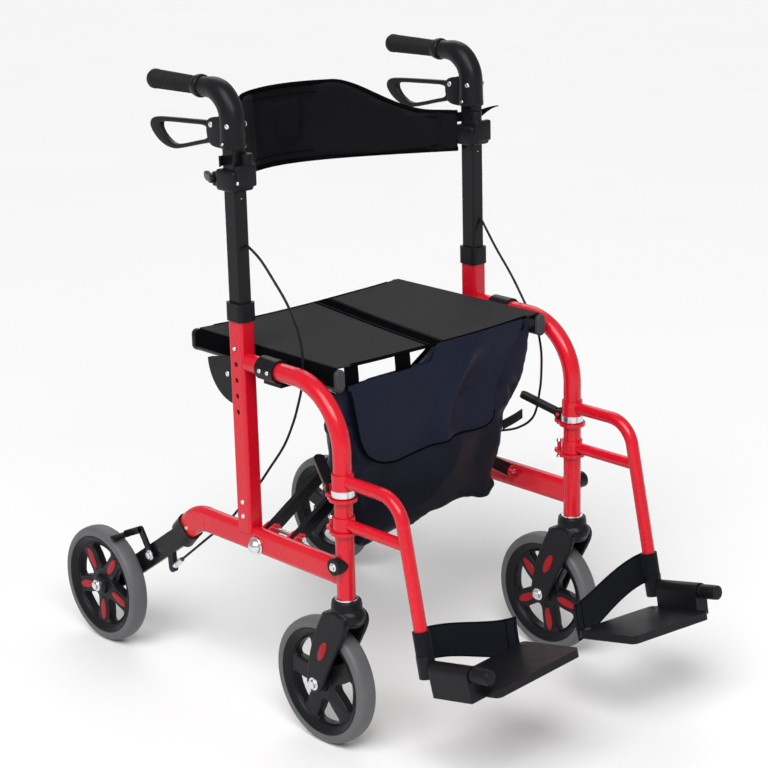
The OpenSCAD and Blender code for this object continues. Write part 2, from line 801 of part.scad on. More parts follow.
module brake_lever(side) {
    tip = lever_pivot - [lever_reach, lever_depth / 4];
    low = lever_pivot - [0.62 * lever_reach, lever_depth];
    root = lever_pivot - [0.04 * lever_reach, 0.55 * lever_depth];
    root_bar = lever_bar + 4;
    end_bar = lever_bar + 3;
    eye_d = lever_pin_d + 10;
    color(black_plastic) on_side(side) difference() {
        side_plate(side_y, lever_width) {
            bar2d(lever_pivot, tip, lever_bar);
            bar2d(tip, low, end_bar);
            bar2d(low, root, lever_bar);
            bar2d(root, lever_pivot, root_bar);
            translate(lever_pivot) circle(d = eye_d);
        }
        bore_y(lever_pivot[0], lever_pivot[1], lever_pin_d);
    }
}

module backrest_clamp(side) {
    clamp_depth = post_depth + 2 * clamp_wall;
    clamp_width = post_width + 2 * clamp_wall;
    mid_z = clamp_top - clamp_height / 2;
    corner = 5;
    stem_back = 10;
    stem = 20;
    wing = 15;
    wing_thick = 6;
    wing_half = [0, 7];
    wing_at = [-clamp_depth / 2 - stem, mid_z];
    color(black_plastic) on_side(side) {
        translate([0, side_y, clamp_top - clamp_height]) linear_extrude(clamp_height) difference() {
            round_rect2d(clamp_depth, clamp_width, corner);
            post_section2d(0);
        }
        along_x(wing_at[0], side_y, mid_z, stem + clamp_wall / 2, stem_back);
        side_plate(side_y, wing_thick) bar2d(wing_at - wing_half, wing_at + wing_half, wing);
    }
}

module brake_shoe(side) {
    arm_y = bracket_in + rest_gap;
    arm_thick = 7;
    arm_bar = 15;
    shoe_r = wheel_r + shoe_gap;
    shoe_at = rear_axle + (shoe_r + arm_bar / 2 + rest_gap) * [cos(shoe_angle), sin(shoe_angle)];
    shoe_elbow = shoe_pivot + [-25, 38];
    shoe_width = tyre_width - 4;
    arm_lap = 4;
    pin_past = 3;
    color(black_metal) on_side(side) {
        side_plate(arm_y + arm_thick / 2, arm_thick) {
            bar2d(shoe_pivot, shoe_elbow, arm_bar);
            bar2d(shoe_elbow, shoe_at, arm_bar);
        }
        along_y(shoe_pivot[0], bracket_in - bracket_thick - pin_past, shoe_pivot[1],
            bracket_thick + 2 * pin_past, pin_d);
        translate([rear_axle[0], rear_wheel_y, rear_axle[1]]) rotate([0, -shoe_angle, 0])
            translate([shoe_r, -shoe_width / 2 - arm_lap, -shoe_length / 2])
                cube([shoe_thick, shoe_width + arm_lap, shoe_length]);
    }
}

// Footrests

// Frame of the cam lever's cross pin: x along the lever, y along the pin
module at_cam_pin() {
    translate([front_tube_x - clamp_pin_back, side_y, flange_z[1] + flange_thick + cam_pin_rise])
        rotate([0, 0, cam_turn]) children();
}

// Two flanges round the front tube: the lower one has a locating pin, the upper one the cam lever's lug
module foot_clamp(side) {
    lobe = 16;
    pin_reach = [8, 13];
    lug_width = 10;
    lug_root = cam_pin_rise + 2;
    pin_past = 2;
    color(red_paint) on_side(side) {
        for (z = flange_z) translate([front_tube_x, side_y, z]) linear_extrude(flange_thick) difference() {
            union() {
                circle(d = flange_d);
                bar2d([0, 0], [-clamp_pin_back, 0], lobe);
            }
            circle(d = front_tube_d + 2 * run_gap);
        }
        translate([front_tube_x - clamp_pin_back, side_y, flange_z[0] - pin_reach[0]])
            cylinder(h = pin_reach[0] + flange_thick + pin_reach[1], d = clamp_pin_d);
        at_cam_pin() {
            side_plate(0, cam_lug) {
                circle(d = lug_width);
                translate([-lug_width / 2, -lug_root]) square([lug_width, lug_root]);
            }
            along_y(0, -cam_width / 2 - pin_past, 0, cam_width + 2 * pin_past, cam_pin_d);
        }
    }
}

module cam_lever(side) {
    eye_d = 14;
    eye_width = cam_width - 1;
    slot_d = 18;
    paddle_start = 4;
    lift = 22;
    thick = 8;
    color(black_plastic) on_side(side) at_cam_pin() difference() {
        union() {
            along_y(0, -eye_width / 2, 0, eye_width, eye_d);
            rotate([0, -lift, 0]) translate([0, 0, -thick / 2]) linear_extrude(thick)
                bar2d([paddle_start, 0], [cam_length, 0], cam_width);
        }
        along_y(0, -cam_width, 0, 2 * cam_width, cam_pin_d + 2 * run_gap);
        side_plate(0, cam_lug + 2 * rest_gap) circle(d = slot_d);
    }
}

module footrest_hanger(side) {
    tube_end = foot_drop(side) - spindle_d / 2 - tube_stop;
    sleeve_lip = 1.5;
    sleeve_low = [for (z = flange_z) z + flange_thick + rest_gap];
    sleeve_top = [hanger_low_z + hanger_r + sleeve_lip, hanger_z + hanger_r + sleeve_lip];
    low_joint = bend_end[0] + (bend_end[1] - hanger_low_z) * tan(foot_tilt);
    // The straight upper arm is swaged a little thinner and enters the bend
    arm_enters = 2;
    arm_d = hanger_d - 2 * rest_gap;
    color(red_paint) on_side(side) difference() {
        union() {
            for (i = [0, 1]) translate([front_tube_x, side_y, sleeve_low[i]])
                cylinder(h = sleeve_top[i] - sleeve_low[i], r = sleeve_r);
            about_y(bend_x, side_y, hanger_z - hanger_bend_r) rotate([0, 0, foot_tilt]) {
                rotate_extrude(angle = 90 - foot_tilt) translate([hanger_bend_r, 0]) circle(d = hanger_d);
                translate([hanger_bend_r, 0, 0]) rotate([90, 0, 0]) cylinder(h = tube_end, d = hanger_d);
            }
            along_x(front_tube_x, side_y, hanger_z, hanger_reach + arm_enters, arm_d);
            along_x(front_tube_x, side_y, hanger_low_z, low_joint - front_tube_x, hanger_arm_d);
        }
        translate([front_tube_x, side_y, flange_z[0]])
            cylinder(h = 2 * hanger_gap, d = front_tube_d + 2 * run_gap);
    }
}

// Frame of one footrest: x along the spindle, z up the hanger tube
module on_spindle(side) {
    spindle = spindle_at(side);
    on_side(side) translate([spindle[0], side_y, spindle[1]]) rotate([0, -foot_tilt, 0]) children();
}

module footplate_bracket(side) {
    spindle_r = spindle_d / 2;
    socket_low = spindle_r + 5;
    socket_top = spindle_r + tube_stop + socket_depth;
    spindle_past = 12;
    color(black_plastic) on_spindle(side) {
        difference() {
            union() {
                translate([0, 0, -socket_low]) cylinder(h = socket_top + socket_low, r = socket_r);
                along_x(0, 0, 0, knob_start + spindle_past, spindle_d);
            }
            translate([0, 0, spindle_r + tube_stop]) cylinder(h = socket_top, d = hanger_d);
        }
        difference() {
            along_x(knob_start + rest_gap, 0, 0, knob_length, knob_d);
            along_x(0, 0, 0, knob_start + spindle_past + rest_gap, spindle_d + 2 * run_gap);
        }
    }
}

module heel_strap(side) {
    low = spindle_d / 2 + tube_stop + socket_depth + rest_gap;
    ring_r = hanger_r + run_gap;
    corner = [plate_back - rest_gap - strap_thick / 2,
        -plate_side - plate_width + strap_width / 2 + strap_thick];
    route = concat([[-ring_r - strap_thick / 2, 0]],
        [for (u = [0.25, 0.5, 0.75]) [-strap_bow * sin(45 + 90 * u), u * corner[1]]], [corner]);
    tab_low = -plate_drop - plate_thick / 2;
    color(navy_cloth) on_spindle(side) {
        translate([0, 0, low]) linear_extrude(strap_width) {
            difference() {
                circle(ring_r + strap_thick);
                circle(ring_r);
            }
            difference() {
                for (i = [0 : len(route) - 2]) bar2d(route[i], route[i + 1], strap_thick);
                circle(ring_r);
            }
        }
        translate([corner[0] - strap_thick / 2, corner[1] - strap_width / 2, tab_low])
            cube([strap_thick, strap_width, low + strap_width - tab_low]);
    }
}

module footplate(side) {
    housing_r = 13;
    housing_start = socket_r + rest_gap + 2;
    web = plate_side + 12;
    low = -plate_drop - plate_thick;
    plate_corner = 9;
    color(black_plastic) on_spindle(side) difference() {
        rotate([-plate_roll, 0, 0]) union() {
            translate([plate_back + plate_depth / 2, -plate_side - plate_width / 2, low])
                linear_extrude(plate_thick) round_rect2d(plate_depth, plate_width, plate_corner);
            cross_plate(housing_start, foot_housing) {
                circle(housing_r);
                translate([-housing_r, low]) square([2 * housing_r, -low]);
                translate([-web, low]) square([web, plate_thick]);
            }
        }
        along_x(0, 0, 0, 2 * knob_start, spindle_d + 2 * run_gap);
    }
}

// Cross brace, seat, bag and backrest

module seat_rail(y) {
    translate([-seat_back, y, seat_rail_z]) rotate([0, 90, 0]) linear_extrude(seat_back + seat_front)
        stadium2d(seat_rail_height, seat_rail_width);
}

// One scissor arm: two bars from a lower pivot on one side to the seat rail of the other
module cross_arm(lower_side) {
    foot = [lower_side * pivot_y, pivot_z];
    head = [-lower_side * seat_rail_y, seat_rail_z];
    // The bars' round ends stay inside the seat rail
    bar_end = head - unit(head - foot) * (arm_height - seat_rail_width);
    color(black_metal) in_middle() difference() {
        union() {
            for (bar = bar_starts)
                cross_plate(bar + arm_of(lower_side), arm_depth) bar2d(foot, bar_end, arm_height);
            seat_rail(head[0]);
        }
        bore_x(foot[0], foot[1], pin_d);
        bore_x(0, centre_z, pin_d);
    }
}

module cross_arm_a() {
    cross_arm(right);
}

module cross_arm_b() {
    cross_arm(left);
}

module centre_bolt() {
    color(bright_steel) in_middle() {
        along_x(centre_bolt_back, 0, centre_z, centre_bolt_front - centre_bolt_back, pin_d);
        for (end = [centre_bolt_back, centre_bolt_front - bolt_head])
            along_x(end, 0, centre_z, bolt_head, 2 * pin_d);
    }
}

// Cross-section of the seat cloth: up over one rail, slung across and down over the other
function sling(grow, steps) = let (
        wrap_r = seat_rail_width / 2 + rest_gap + grow,
        wrap_z = seat_rail_z + (seat_rail_height - seat_rail_width) / 2,
        flap_z = seat_rail_z - 8)
    concat(
        [[-seat_rail_y - wrap_r, flap_z]],
        [for (i = [0 : 4]) [-seat_rail_y - wrap_r * cos(22.5 * i), wrap_z + wrap_r * sin(22.5 * i)]],
        [for (i = [1 : steps - 1]) let (u = 2 * i / steps - 1)
            [u * seat_rail_y, wrap_z + wrap_r - seat_sag * (1 - u * u)]],
        [for (i = [4 : -1 : 0]) [seat_rail_y + wrap_r * cos(22.5 * i), wrap_z + wrap_r * sin(22.5 * i)]],
        [[seat_rail_y + wrap_r, flap_z]]);

module seat_fabric() {
    inner = sling(0, 16);
    color(dark_cloth) in_middle() cross_plate(-seat_back, seat_back + seat_front)
        polygon(concat(sling(cloth_thick, 16), [for (i = [len(inner) - 1 : -1 : 0]) inner[i]]));
}

// Outline of the bag seen from the front, drawn in by the thickness of its cloth
module bag_outline2d(inset) {
    half = seat_rail_y - seat_rail_width / 2 - rest_gap - inset;
    top = seat_rail_z + 2 + inset;
    low = seat_rail_z - bag_drop + inset;
    round_left = half - bag_lean_left - bag_corner;
    round_right = half - bag_lean_right - bag_corner;
    round_z = low + bag_corner;
    polygon(concat(
        [[-half, top], [half, top]],
        [for (a = [0 : 15 : 90]) [round_left + bag_corner * cos(a), round_z - bag_corner * sin(a)]],
        [for (a = [90 : -15 : 0]) [-round_right - bag_corner * cos(a), round_z - bag_corner * sin(a)]]));
}

// Pouch, open at the top under the seat
module bag() {
    start = centre_bolt_front + 2;
    depth = seat_front + bag_ahead - start;
    color(navy_cloth) in_middle() difference() {
        cross_plate(start, depth) bag_outline2d(0);
        cross_plate(start + bag_wall, depth - 2 * bag_wall) bag_outline2d(bag_wall);
    }
}

// Share of the backrest's crest that its upper edge has risen at u, from -1 at one end to 1 at the other
function back_rise(u) = let (t = max(0, min(1, (0.9 - abs(u)) / 0.5))) t * t * (3 - 2 * t);
// Share of the backrest's bow that it has gone back at u
function back_swing(u) = 1 - u * u;
// Share of the backrest's dip that its lower edge has sunk at u
function back_sink(u) = 1 - pow(abs(u), 2.5);

module backrest() {
    half = side_y - post_width / 2 - clamp_wall - rest_gap;
    low = clamp_top - clamp_height - back_drop;
    steps = 24;
    end_x = -back_end_back - back_thick / 2;
    place = [for (i = [-steps : steps]) i / steps];
    crest = back_mid_height - back_dip - back_end_height;
    color(black_plastic) in_middle() intersection() {
        translate([0, 0, low - back_dip - 1]) linear_extrude(2 * back_mid_height) polygon(concat(
            [for (u = place) [end_x - back_bow * back_swing(u), u * half]],
            [for (i = [len(place) - 1 : -1 : 0])
                [end_x + back_thick - back_bow * back_swing(place[i]), place[i] * half]]));
        cross_plate(-2 * back_bow, 4 * back_bow) polygon(concat(
            [for (u = place) [u * half, low - back_dip * back_sink(u)]],
            [for (i = [len(place) - 1 : -1 : 0])
                [place[i] * half, low + back_end_height + crest * back_rise(place[i])]]));
    }
}

upright(right);  // right_upright
front_tube(right);  // right_front_tube
lower_rail(right);  // right_lower_rail
post_collar(right);  // right_post_collar
seat_saddle(right);  // right_seat_saddle
rear_bracket(right);  // right_rear_bracket
frame_bolts(right);  // right_frame_bolts
frame_guards(right);  // right_frame_guards
brake_cable(right);  // right_brake_cable
rear_tyre(right);  // right_rear_tyre
rear_rim(right);  // right_rear_rim
caster_fork(right);  // right_caster_fork
front_tyre(right);  // right_front_tyre
front_rim(right);  // right_front_rim
handle_post(right);  // right_handle_post
handle_housing(right);  // right_handle_housing
grip(right);  // right_grip
backrest_clamp(right);  // right_backrest_clamp
brake_lever(right);  // right_brake_lever
height_button(right);  // right_height_button
brake_shoe(right);  // right_brake_shoe
foot_clamp(right);  // right_foot_clamp
cam_lever(right);  // right_cam_lever
footrest_hanger(right);  // right_footrest_hanger
footplate_bracket(right);  // right_footplate_bracket
heel_strap(right);  // right_heel_strap
footplate(right);  // right_footplate
upright(left);  // left_upright
front_tube(left);  // left_front_tube
lower_rail(left);  // left_lower_rail
post_collar(left);  // left_post_collar
seat_saddle(left);  // left_seat_saddle
rear_bracket(left);  // left_rear_bracket
frame_bolts(left);  // left_frame_bolts
frame_guards(left);  // left_frame_guards
brake_cable(left);  // left_brake_cable
rear_tyre(left);  // left_rear_tyre
rear_rim(left);  // left_rear_rim
caster_fork(left);  // left_caster_fork
front_tyre(left);  // left_front_tyre
front_rim(left);  // left_front_rim
handle_post(left);  // left_handle_post
handle_housing(left);  // left_handle_housing
grip(left);  // left_grip
backrest_clamp(left);  // left_backrest_clamp
brake_lever(left);  // left_brake_lever
height_button(left);  // left_height_button
brake_shoe(left);  // left_brake_shoe
foot_clamp(left);  // left_foot_clamp
cam_lever(left);  // left_cam_lever
footrest_hanger(left);  // left_footrest_hanger
footplate_bracket(left);  // left_footplate_bracket
heel_strap(left);  // left_heel_strap
footplate(left);  // left_footplate
cross_arm_a();
cross_arm_b();
centre_bolt();
seat_fabric();
bag();
backrest();
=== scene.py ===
"""Looks of a folding rollator transport chair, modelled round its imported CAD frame.

Front is +X, the sitter's left is +Y, up is +Z, and the floor is z = 0. Lengths are in metres.
Many places are counted ahead of the handle uprights, so at() adds the uprights' own place.
"""

import json
import math

import bpy
from mathutils import Matrix, Vector, noise


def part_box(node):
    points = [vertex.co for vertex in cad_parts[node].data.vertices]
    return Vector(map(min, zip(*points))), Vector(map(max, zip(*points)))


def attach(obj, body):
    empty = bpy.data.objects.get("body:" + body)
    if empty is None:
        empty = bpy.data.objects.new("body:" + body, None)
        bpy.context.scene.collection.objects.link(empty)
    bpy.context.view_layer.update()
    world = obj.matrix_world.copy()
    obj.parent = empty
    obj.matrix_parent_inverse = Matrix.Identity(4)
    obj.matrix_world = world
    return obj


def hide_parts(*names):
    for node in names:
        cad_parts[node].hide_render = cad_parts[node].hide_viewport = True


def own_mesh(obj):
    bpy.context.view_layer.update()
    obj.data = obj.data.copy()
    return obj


bl_info = {
    "name": "Rollator transport chair",
    "version": (1, 0, 0),
    "blender": (4, 5, 0),
    "location": "View3D > Sidebar > Chair",
    "description": "Models the cloth, wheels, cables and trim of a rollator transport chair on its CAD frame",
    "category": "Object",
}

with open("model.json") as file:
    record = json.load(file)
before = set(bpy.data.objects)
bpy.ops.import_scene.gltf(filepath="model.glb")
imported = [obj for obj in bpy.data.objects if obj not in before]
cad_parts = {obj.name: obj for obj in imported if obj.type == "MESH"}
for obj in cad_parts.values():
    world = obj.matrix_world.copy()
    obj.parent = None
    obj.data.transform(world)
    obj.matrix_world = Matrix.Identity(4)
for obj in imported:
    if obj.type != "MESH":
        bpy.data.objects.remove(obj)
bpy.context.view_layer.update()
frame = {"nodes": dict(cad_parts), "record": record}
NODES = frame["nodes"]
SIDES = {"right": -1, "left": 1}


def middle_of(node):
    low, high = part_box(node)
    return (low + high) / 2


UPRIGHT_X = middle_of("right_upright").x
SIDE_Y = middle_of("left_upright").y
SIDE_MM = 1000 * SIDE_Y
RAIL_Y = 211
# Stands a flat plate up in a side frame's plane
STAND = Matrix.Rotation(math.pi / 2, 4, "X")
LOOKS = {}


def at(ahead, y, z):
    """A point from millimetres: ahead of the uprights, to the left of the middle, above the floor."""
    return Vector((UPRIGHT_X + ahead / 1000, y / 1000, z / 1000))


def shift(ahead, y, z):
    return Matrix.Translation(at(ahead, y, z))


def mix(a, b, t):
    return a + (b - a) * t


def ease(t):
    t = max(0.0, min(1.0, t))
    return t * t * (3 - 2 * t)


def smooth_path(points, steps):
    """Points of a smooth curve through the given ones."""
    found = []
    last = len(points) - 1
    for i in range(last):
        a, b, c, d = (points[max(0, min(last, k))] for k in (i - 1, i, i + 1, i + 2))
        for k in range(steps):
            t = k / steps
            found.append(0.5 * (2 * b + (c - a) * t + (2 * a - 5 * b + 4 * c - d) * t * t
                                + (3 * b - a - 3 * c + d) * t * t * t))
    return found + [points[last]]


def through(table, place):
    """The height at a place of the line through (place, height) pairs."""
    for (a, low), (b, high) in zip(table, table[1:]):
        if place <= b:
            return mix(low, high, max(0.0, (place - a) / (b - a)))
    return table[-1][1]


def path_length(points):
    return sum((b - a).length for a, b in zip(points, points[1:]))


# Modelling steps


def only(obj):
    """Makes obj the one selected and active object."""
    if bpy.context.object and bpy.context.object.mode != "OBJECT":
        bpy.ops.object.mode_set(mode="OBJECT")
    bpy.ops.object.select_all(action="DESELECT")
    if obj:
        obj.select_set(True)
        bpy.context.view_layer.objects.active = obj
    return obj


def named(name):
    obj = bpy.context.object
    obj.name = name
    obj.data.name = name
    return obj


def modify(obj, kind, **settings):
    """Adds a modifier and applies it."""
    only(obj)
    modifier = obj.modifiers.new(kind.title(), kind)
    for key, value in settings.items():
        setattr(modifier, key, value)
    bpy.ops.object.modifier_apply(modifier=modifier.name)
    return obj


def thicken(obj, thick):
    """Gives a sheet a wall, half of it on each side."""
    return modify(obj, "SOLIDIFY", thickness=thick, offset=0)


def edit(obj):
    """Opens obj in edit mode with all of it selected."""
    only(obj)
    bpy.ops.object.mode_set(mode="EDIT")
    bpy.ops.mesh.select_all(action="SELECT")


def tidy_mesh(obj):
    """Merges doubled points and turns all faces outward."""
    edit(obj)
    bpy.ops.mesh.remove_doubles(threshold=1e-6)
    bpy.ops.mesh.delete_loose()
    bpy.ops.mesh.select_all(action="SELECT")
    bpy.ops.mesh.normals_make_consistent(inside=False)
    bpy.ops.object.mode_set(mode="OBJECT")
    return obj


def patch(name, across, along, place):
    """A grid whose points are moved to place(u, v), with u and v from 0 to 1."""
    only(None)
    bpy.ops.mesh.primitive_grid_add(x_subdivisions=across, y_subdivisions=along, size=2)
    obj = named(name)
    for point in obj.data.vertices:
        point.co = place((point.co.x + 1) / 2, (point.co.y + 1) / 2)
    return obj


def lathe(name, outline, steps=56):
    """Spins a closed outline of (radius, height), in millimetres, about Z."""
    only(None)
    bpy.ops.mesh.primitive_circle_add(vertices=len(outline), radius=1, fill_type="NOTHING")
    obj = named(name)
    for point, (radius, height) in zip(obj.data.vertices, outline):
        point.co = (radius / 1000, 0, height / 1000)
    edit(obj)
    bpy.ops.mesh.spin(steps=steps, angle=2 * math.pi, center=(0, 0, 0), axis=(0, 0, 1))
    bpy.ops.object.mode_set(mode="OBJECT")
    return tidy_mesh(obj)


def plate(name, loops, thick, edge):
    """A flat plate in X and Y with rounded edges, from outlines in millimetres; later loops are holes."""
    curve = bpy.data.curves.new(name, "CURVE")
    curve.dimensions = "2D"
    curve.fill_mode = "BOTH"
    curve.extrude = (thick / 2 - edge) / 1000
    curve.bevel_depth = edge / 1000
    curve.bevel_resolution = 3
    curve.offset = -edge / 1000
    for loop in loops:
        spline = curve.splines.new("POLY")
        spline.points.add(len(loop) - 1)
        for point, (x, y) in zip(spline.points, loop):
            point.co = (x / 1000, y / 1000, 0, 1)
        spline.use_cyclic_u = True
    obj = bpy.data.objects.new(name, curve)
    bpy.context.collection.objects.link(obj)
    only(obj)
    bpy.ops.object.convert(target="MESH")
    return tidy_mesh(named(name))


def rod(name, points, radius, sides=12):
    """A round rod along points, with its ends closed."""
    only(None)
    bpy.ops.curve.primitive_nurbs_path_add()
    obj = named(name)
    curve = obj.data
    curve.splines.clear()
    spline = curve.splines.new("POLY")
    spline.points.add(len(points) - 1)
    for point, place in zip(spline.points, points):
        point.co = (*place, 1)
    curve.dimensions = "3D"
    curve.bevel_depth = radius
    curve.bevel_resolution = max(0, sides // 4 - 1)
    curve.use_fill_caps = True
    only(obj)
    bpy.ops.object.convert(target="MESH")
    return tidy_mesh(named(name))


def close_ends(obj):
    """Fills the open ends of a tube."""
    only(obj)
    bpy.ops.object.mode_set(mode="EDIT")
    bpy.ops.mesh.select_all(action="DESELECT")
    bpy.ops.mesh.select_non_manifold(extend=False)
    bpy.ops.mesh.fill_holes(sides=0)
    bpy.ops.object.mode_set(mode="OBJECT")
    return tidy_mesh(obj)


def sweep(name, y, spine, halves, sides=36):
    """An oval tube in an upright plane, along (ahead, height) points, with half depths and half widths."""
    last = len(spine) - 1

    def place(u, v):
        i = round(v * last)
        a, b = spine[max(0, i - 1)], spine[min(last, i + 1)]
        run = Vector((b[0] - a[0], b[1] - a[1])).normalized()
        deep, wide = halves[i]
        off = deep * math.cos(2 * math.pi * u)
        return at(spine[i][0] - run.y * off, y + wide * math.sin(2 * math.pi * u), spine[i][1] + run.x * off)

    return close_ends(tidy_mesh(patch(name, sides, last, place)))


def block(name, size, edge):
    """A box centred on the origin, in millimetres, with bevelled edges."""
    only(None)
    bpy.ops.mesh.primitive_cube_add(size=1)
    obj = named(name)
    obj.data.transform(Matrix.Diagonal((*(s / 1000 for s in size), 1)))
    edit(obj)
    bpy.ops.mesh.bevel(offset=edge / 1000, segments=3, affect="EDGES")
    bpy.ops.object.mode_set(mode="OBJECT")
    return obj


def moved(obj, matrix):
    obj.data.transform(matrix)
    if matrix.determinant() < 0:
        obj.data.flip_normals()
    return obj


def copied(obj, name):
    twin = obj.copy()
    twin.data = obj.data.copy()
    twin.name = name
    twin.data.name = name
    bpy.context.collection.objects.link(twin)
    return twin


def joined(name, pieces):
    only(pieces[0])
    for piece in pieces[1:]:
        piece.select_set(True)
    bpy.ops.object.join()
    return named(name)


def facing(place, direction):
    """The matrix that moves the origin to place and turns +Z to direction."""
    turn = Vector(direction).to_track_quat("Z", "Y").to_matrix().to_4x4()
    return Matrix.Translation(place) @ turn


def upright_at(ahead, y, z):
    """The matrix that stands a flat plate up in a side frame's plane and moves its origin there."""
    return shift(ahead, y, z) @ STAND


def ellipse(long, wide, count=36):
    return [(long / 2 * math.cos(2 * math.pi * i / count), wide / 2 * math.sin(2 * math.pi * i / count))
            for i in range(count)]


def stadium(long, wide, count=12):
    half = (long - wide) / 2
    turns = [math.pi * (i / count - 0.5) for i in range(count + 1)]
    ahead = [(half + wide / 2 * math.cos(a), wide / 2 * math.sin(a)) for a in turns]
    return ahead + [(-x, -y) for x, y in ahead]


def rounded(points, times=3):
    """Cuts the corners of a closed outline until it is round."""
    for _ in range(times):
        cut = []
        for (ax, ay), (bx, by) in zip(points, points[1:] + points[:1]):
            cut += [(mix(ax, bx, 0.25), mix(ay, by, 0.25)), (mix(ax, bx, 0.75), mix(ay, by, 0.75))]
        points = cut
    return points


def both_faces(side, edge=()):
    """The outline of a wheel's part from its outer half and the points between the halves."""
    return [(r, -h) for r, h in side] + list(edge) + [(r, h) for r, h in reversed(side)]


def stud(name, place, direction, radius, height):
    """A domed rivet head on a surface, in millimetres."""
    outline = [(0, -1), (radius, -1), (radius, 0.25 * height), (0.86 * radius, 0.62 * height),
               (0.55 * radius, 0.9 * height), (0.2 * radius, height), (0, height)]
    return moved(lathe(name, outline, 28), facing(place, direction))


def bolt(name, place, direction, radius, height):
    """A six-sided bolt head on a washer, in millimetres."""
    washer = lathe(name + "_washer", [(0, -1), (1.35 * radius, -1), (1.35 * radius, 0.8), (1.2 * radius, 1.3),
                                      (0, 1.3)], 32)
    only(None)
    bpy.ops.mesh.primitive_cylinder_add(vertices=6, radius=radius / 1000, depth=height / 1000)
    head = named(name)
    head.data.transform(Matrix.Translation((0, 0, (1 + height / 2) / 1000)))
    modify(head, "BEVEL", width=0.0006, segments=2, limit_method="ANGLE")
    return moved(joined(name, [head, washer]), facing(place, direction))


def billow(obj, held, pressure, cap):
    """Fills a closed piece of cloth a little; no point moves further than cap."""
    rest = [point.co.copy() for point in obj.data.vertices]
    group = obj.vertex_groups.new(name="held")
    group.add([i for i, co in enumerate(rest) if held(co)], 1.0, "REPLACE")
    only(obj)
    modifier = obj.modifiers.new("Cloth", "CLOTH")
    settings = modifier.settings
    settings.quality = 6
    settings.mass = 0.25
    settings.tension_stiffness = 12
    settings.compression_stiffness = 12
    settings.bending_stiffness = 0.6
    settings.use_pressure = True
    settings.uniform_pressure_force = pressure
    settings.shrink_min = -0.03
    settings.vertex_group_mass = "held"
    settings.effector_weights.gravity = 0
    modifier.collision_settings.use_collision = False
    modifier.collision_settings.use_self_collision = False
    modifier.point_cache.frame_start = 1
    modifier.point_cache.frame_end = 20
    for number in range(1, 21):
        bpy.context.scene.frame_set(number)
    bpy.ops.object.modifier_apply(modifier=modifier.name)
    bpy.context.scene.frame_set(1)
    for point, start in zip(obj.data.vertices, rest):
        move = point.co - start
        if move.length > cap:
            point.co = start + move * (cap / move.length)
    obj.vertex_groups.clear()
    return obj


def finished(obj, body, look, slot=None, angle=38):
    """Gives a piece its look and the body it moves with; its slot is not used."""
    tidy_mesh(obj)
    obj.data.materials.clear()
    obj.data.materials.append(LOOKS[look])
    only(obj)
    bpy.ops.object.shade_smooth_by_angle(angle=math.radians(angle))
    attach(obj, body)
    slot or look
    return obj


# Materials


class Wire:
    """A value in a material's node tree. Arithmetic on it adds math nodes."""

    def __init__(self, tree, socket):
        self.tree = tree
        self.socket = socket

    def node(self, kind, inputs, output=0, **settings):
        """Adds a node with these inputs, plain values or wires, and returns one of its outputs."""
        made = self.tree.nodes.new(kind)
        for key, value in settings.items():
            setattr(made, key, value)
        for key, value in inputs.items():
            if isinstance(value, Wire):
                self.tree.links.new(value.socket, made.inputs[key])
            else:
                made.inputs[key].default_value = value
        return Wire(self.tree, made.outputs[output])

    def math(self, operation, a, b):
        return self.node("ShaderNodeMath", {0: a, 1: b}, operation=operation)

    def __add__(self, other):
        return self.math("ADD", self, other)

    def __sub__(self, other):
        return self.math("SUBTRACT", self, other)

    def __rsub__(self, other):
        return self.math("SUBTRACT", other, self)

    def __mul__(self, other):
        return self.math("MULTIPLY", self, other)

    __radd__ = __add__
    __rmul__ = __mul__

    def noise(self, scale, detail=2.0, stretch=(1, 1, 1)):
        """Noise over the object; a small stretch draws it out along that axis."""
        place = self.node("ShaderNodeMapping", {"Vector": self, "Scale": stretch})
        return self.node("ShaderNodeTexNoise", {"Vector": place, "Scale": scale, "Detail": detail})

    def waves(self, axis, scale):
        return self.node("ShaderNodeTexWave", {"Vector": self, "Scale": scale}, output=1,
                         bands_direction=axis, wave_profile="SIN")

    def blend(self, low, high):
        """A colour between low and high."""
        return self.node("ShaderNodeMix", {0: self, 6: (*low, 1), 7: (*high, 1)}, output=2, data_type="RGBA")


def new_look(name, **constants):
    """A material with these constants on its shader; returns the shader, and the object's coordinates."""
    material = bpy.data.materials.new(name)
    material.use_nodes = True
    tree = material.node_tree
    shader = tree.nodes["Principled BSDF"]
    for key, value in constants.items():
        shader.inputs[key.replace("_", " ").title().replace("Ior", "IOR")].default_value = value
    LOOKS[name] = material
    return shader, Wire(tree, tree.nodes.new("ShaderNodeTexCoord").outputs["Object"])


def connect(shader, **wires):
    for key, wire in wires.items():
        wire.tree.links.new(wire.socket, shader.inputs[key.replace("_", " ").title()])


def relief(wire, strength, depth, edge):
    """A normal from a height, over edges rounded by the given radius."""
    soft = wire.node("ShaderNodeBevel", {"Radius": edge}, samples=4)
    return wire.node("ShaderNodeBump", {"Strength": strength, "Distance": depth, "Height": wire,
                                        "Normal": soft})


def paint_look(name, low, high, rough, coat=0.0, grain=1500.0, bump=0.05, shine=0.15):
    """Paint or moulded plastic: slow clouds of colour, worn patches of shine and a fine grain."""
    shader, place = new_look(name, coat_weight=coat, coat_roughness=0.07, specular_ior_level=shine)
    cloud = place.noise(9, 3)
    wear = place.noise(70, 4)
    connect(shader, base_color=cloud.blend(low, high), roughness=rough + (wear - 0.5) * (rough * 0.5),
            normal=relief(place.noise(grain, 2), bump, 0.0004, 0.0007))


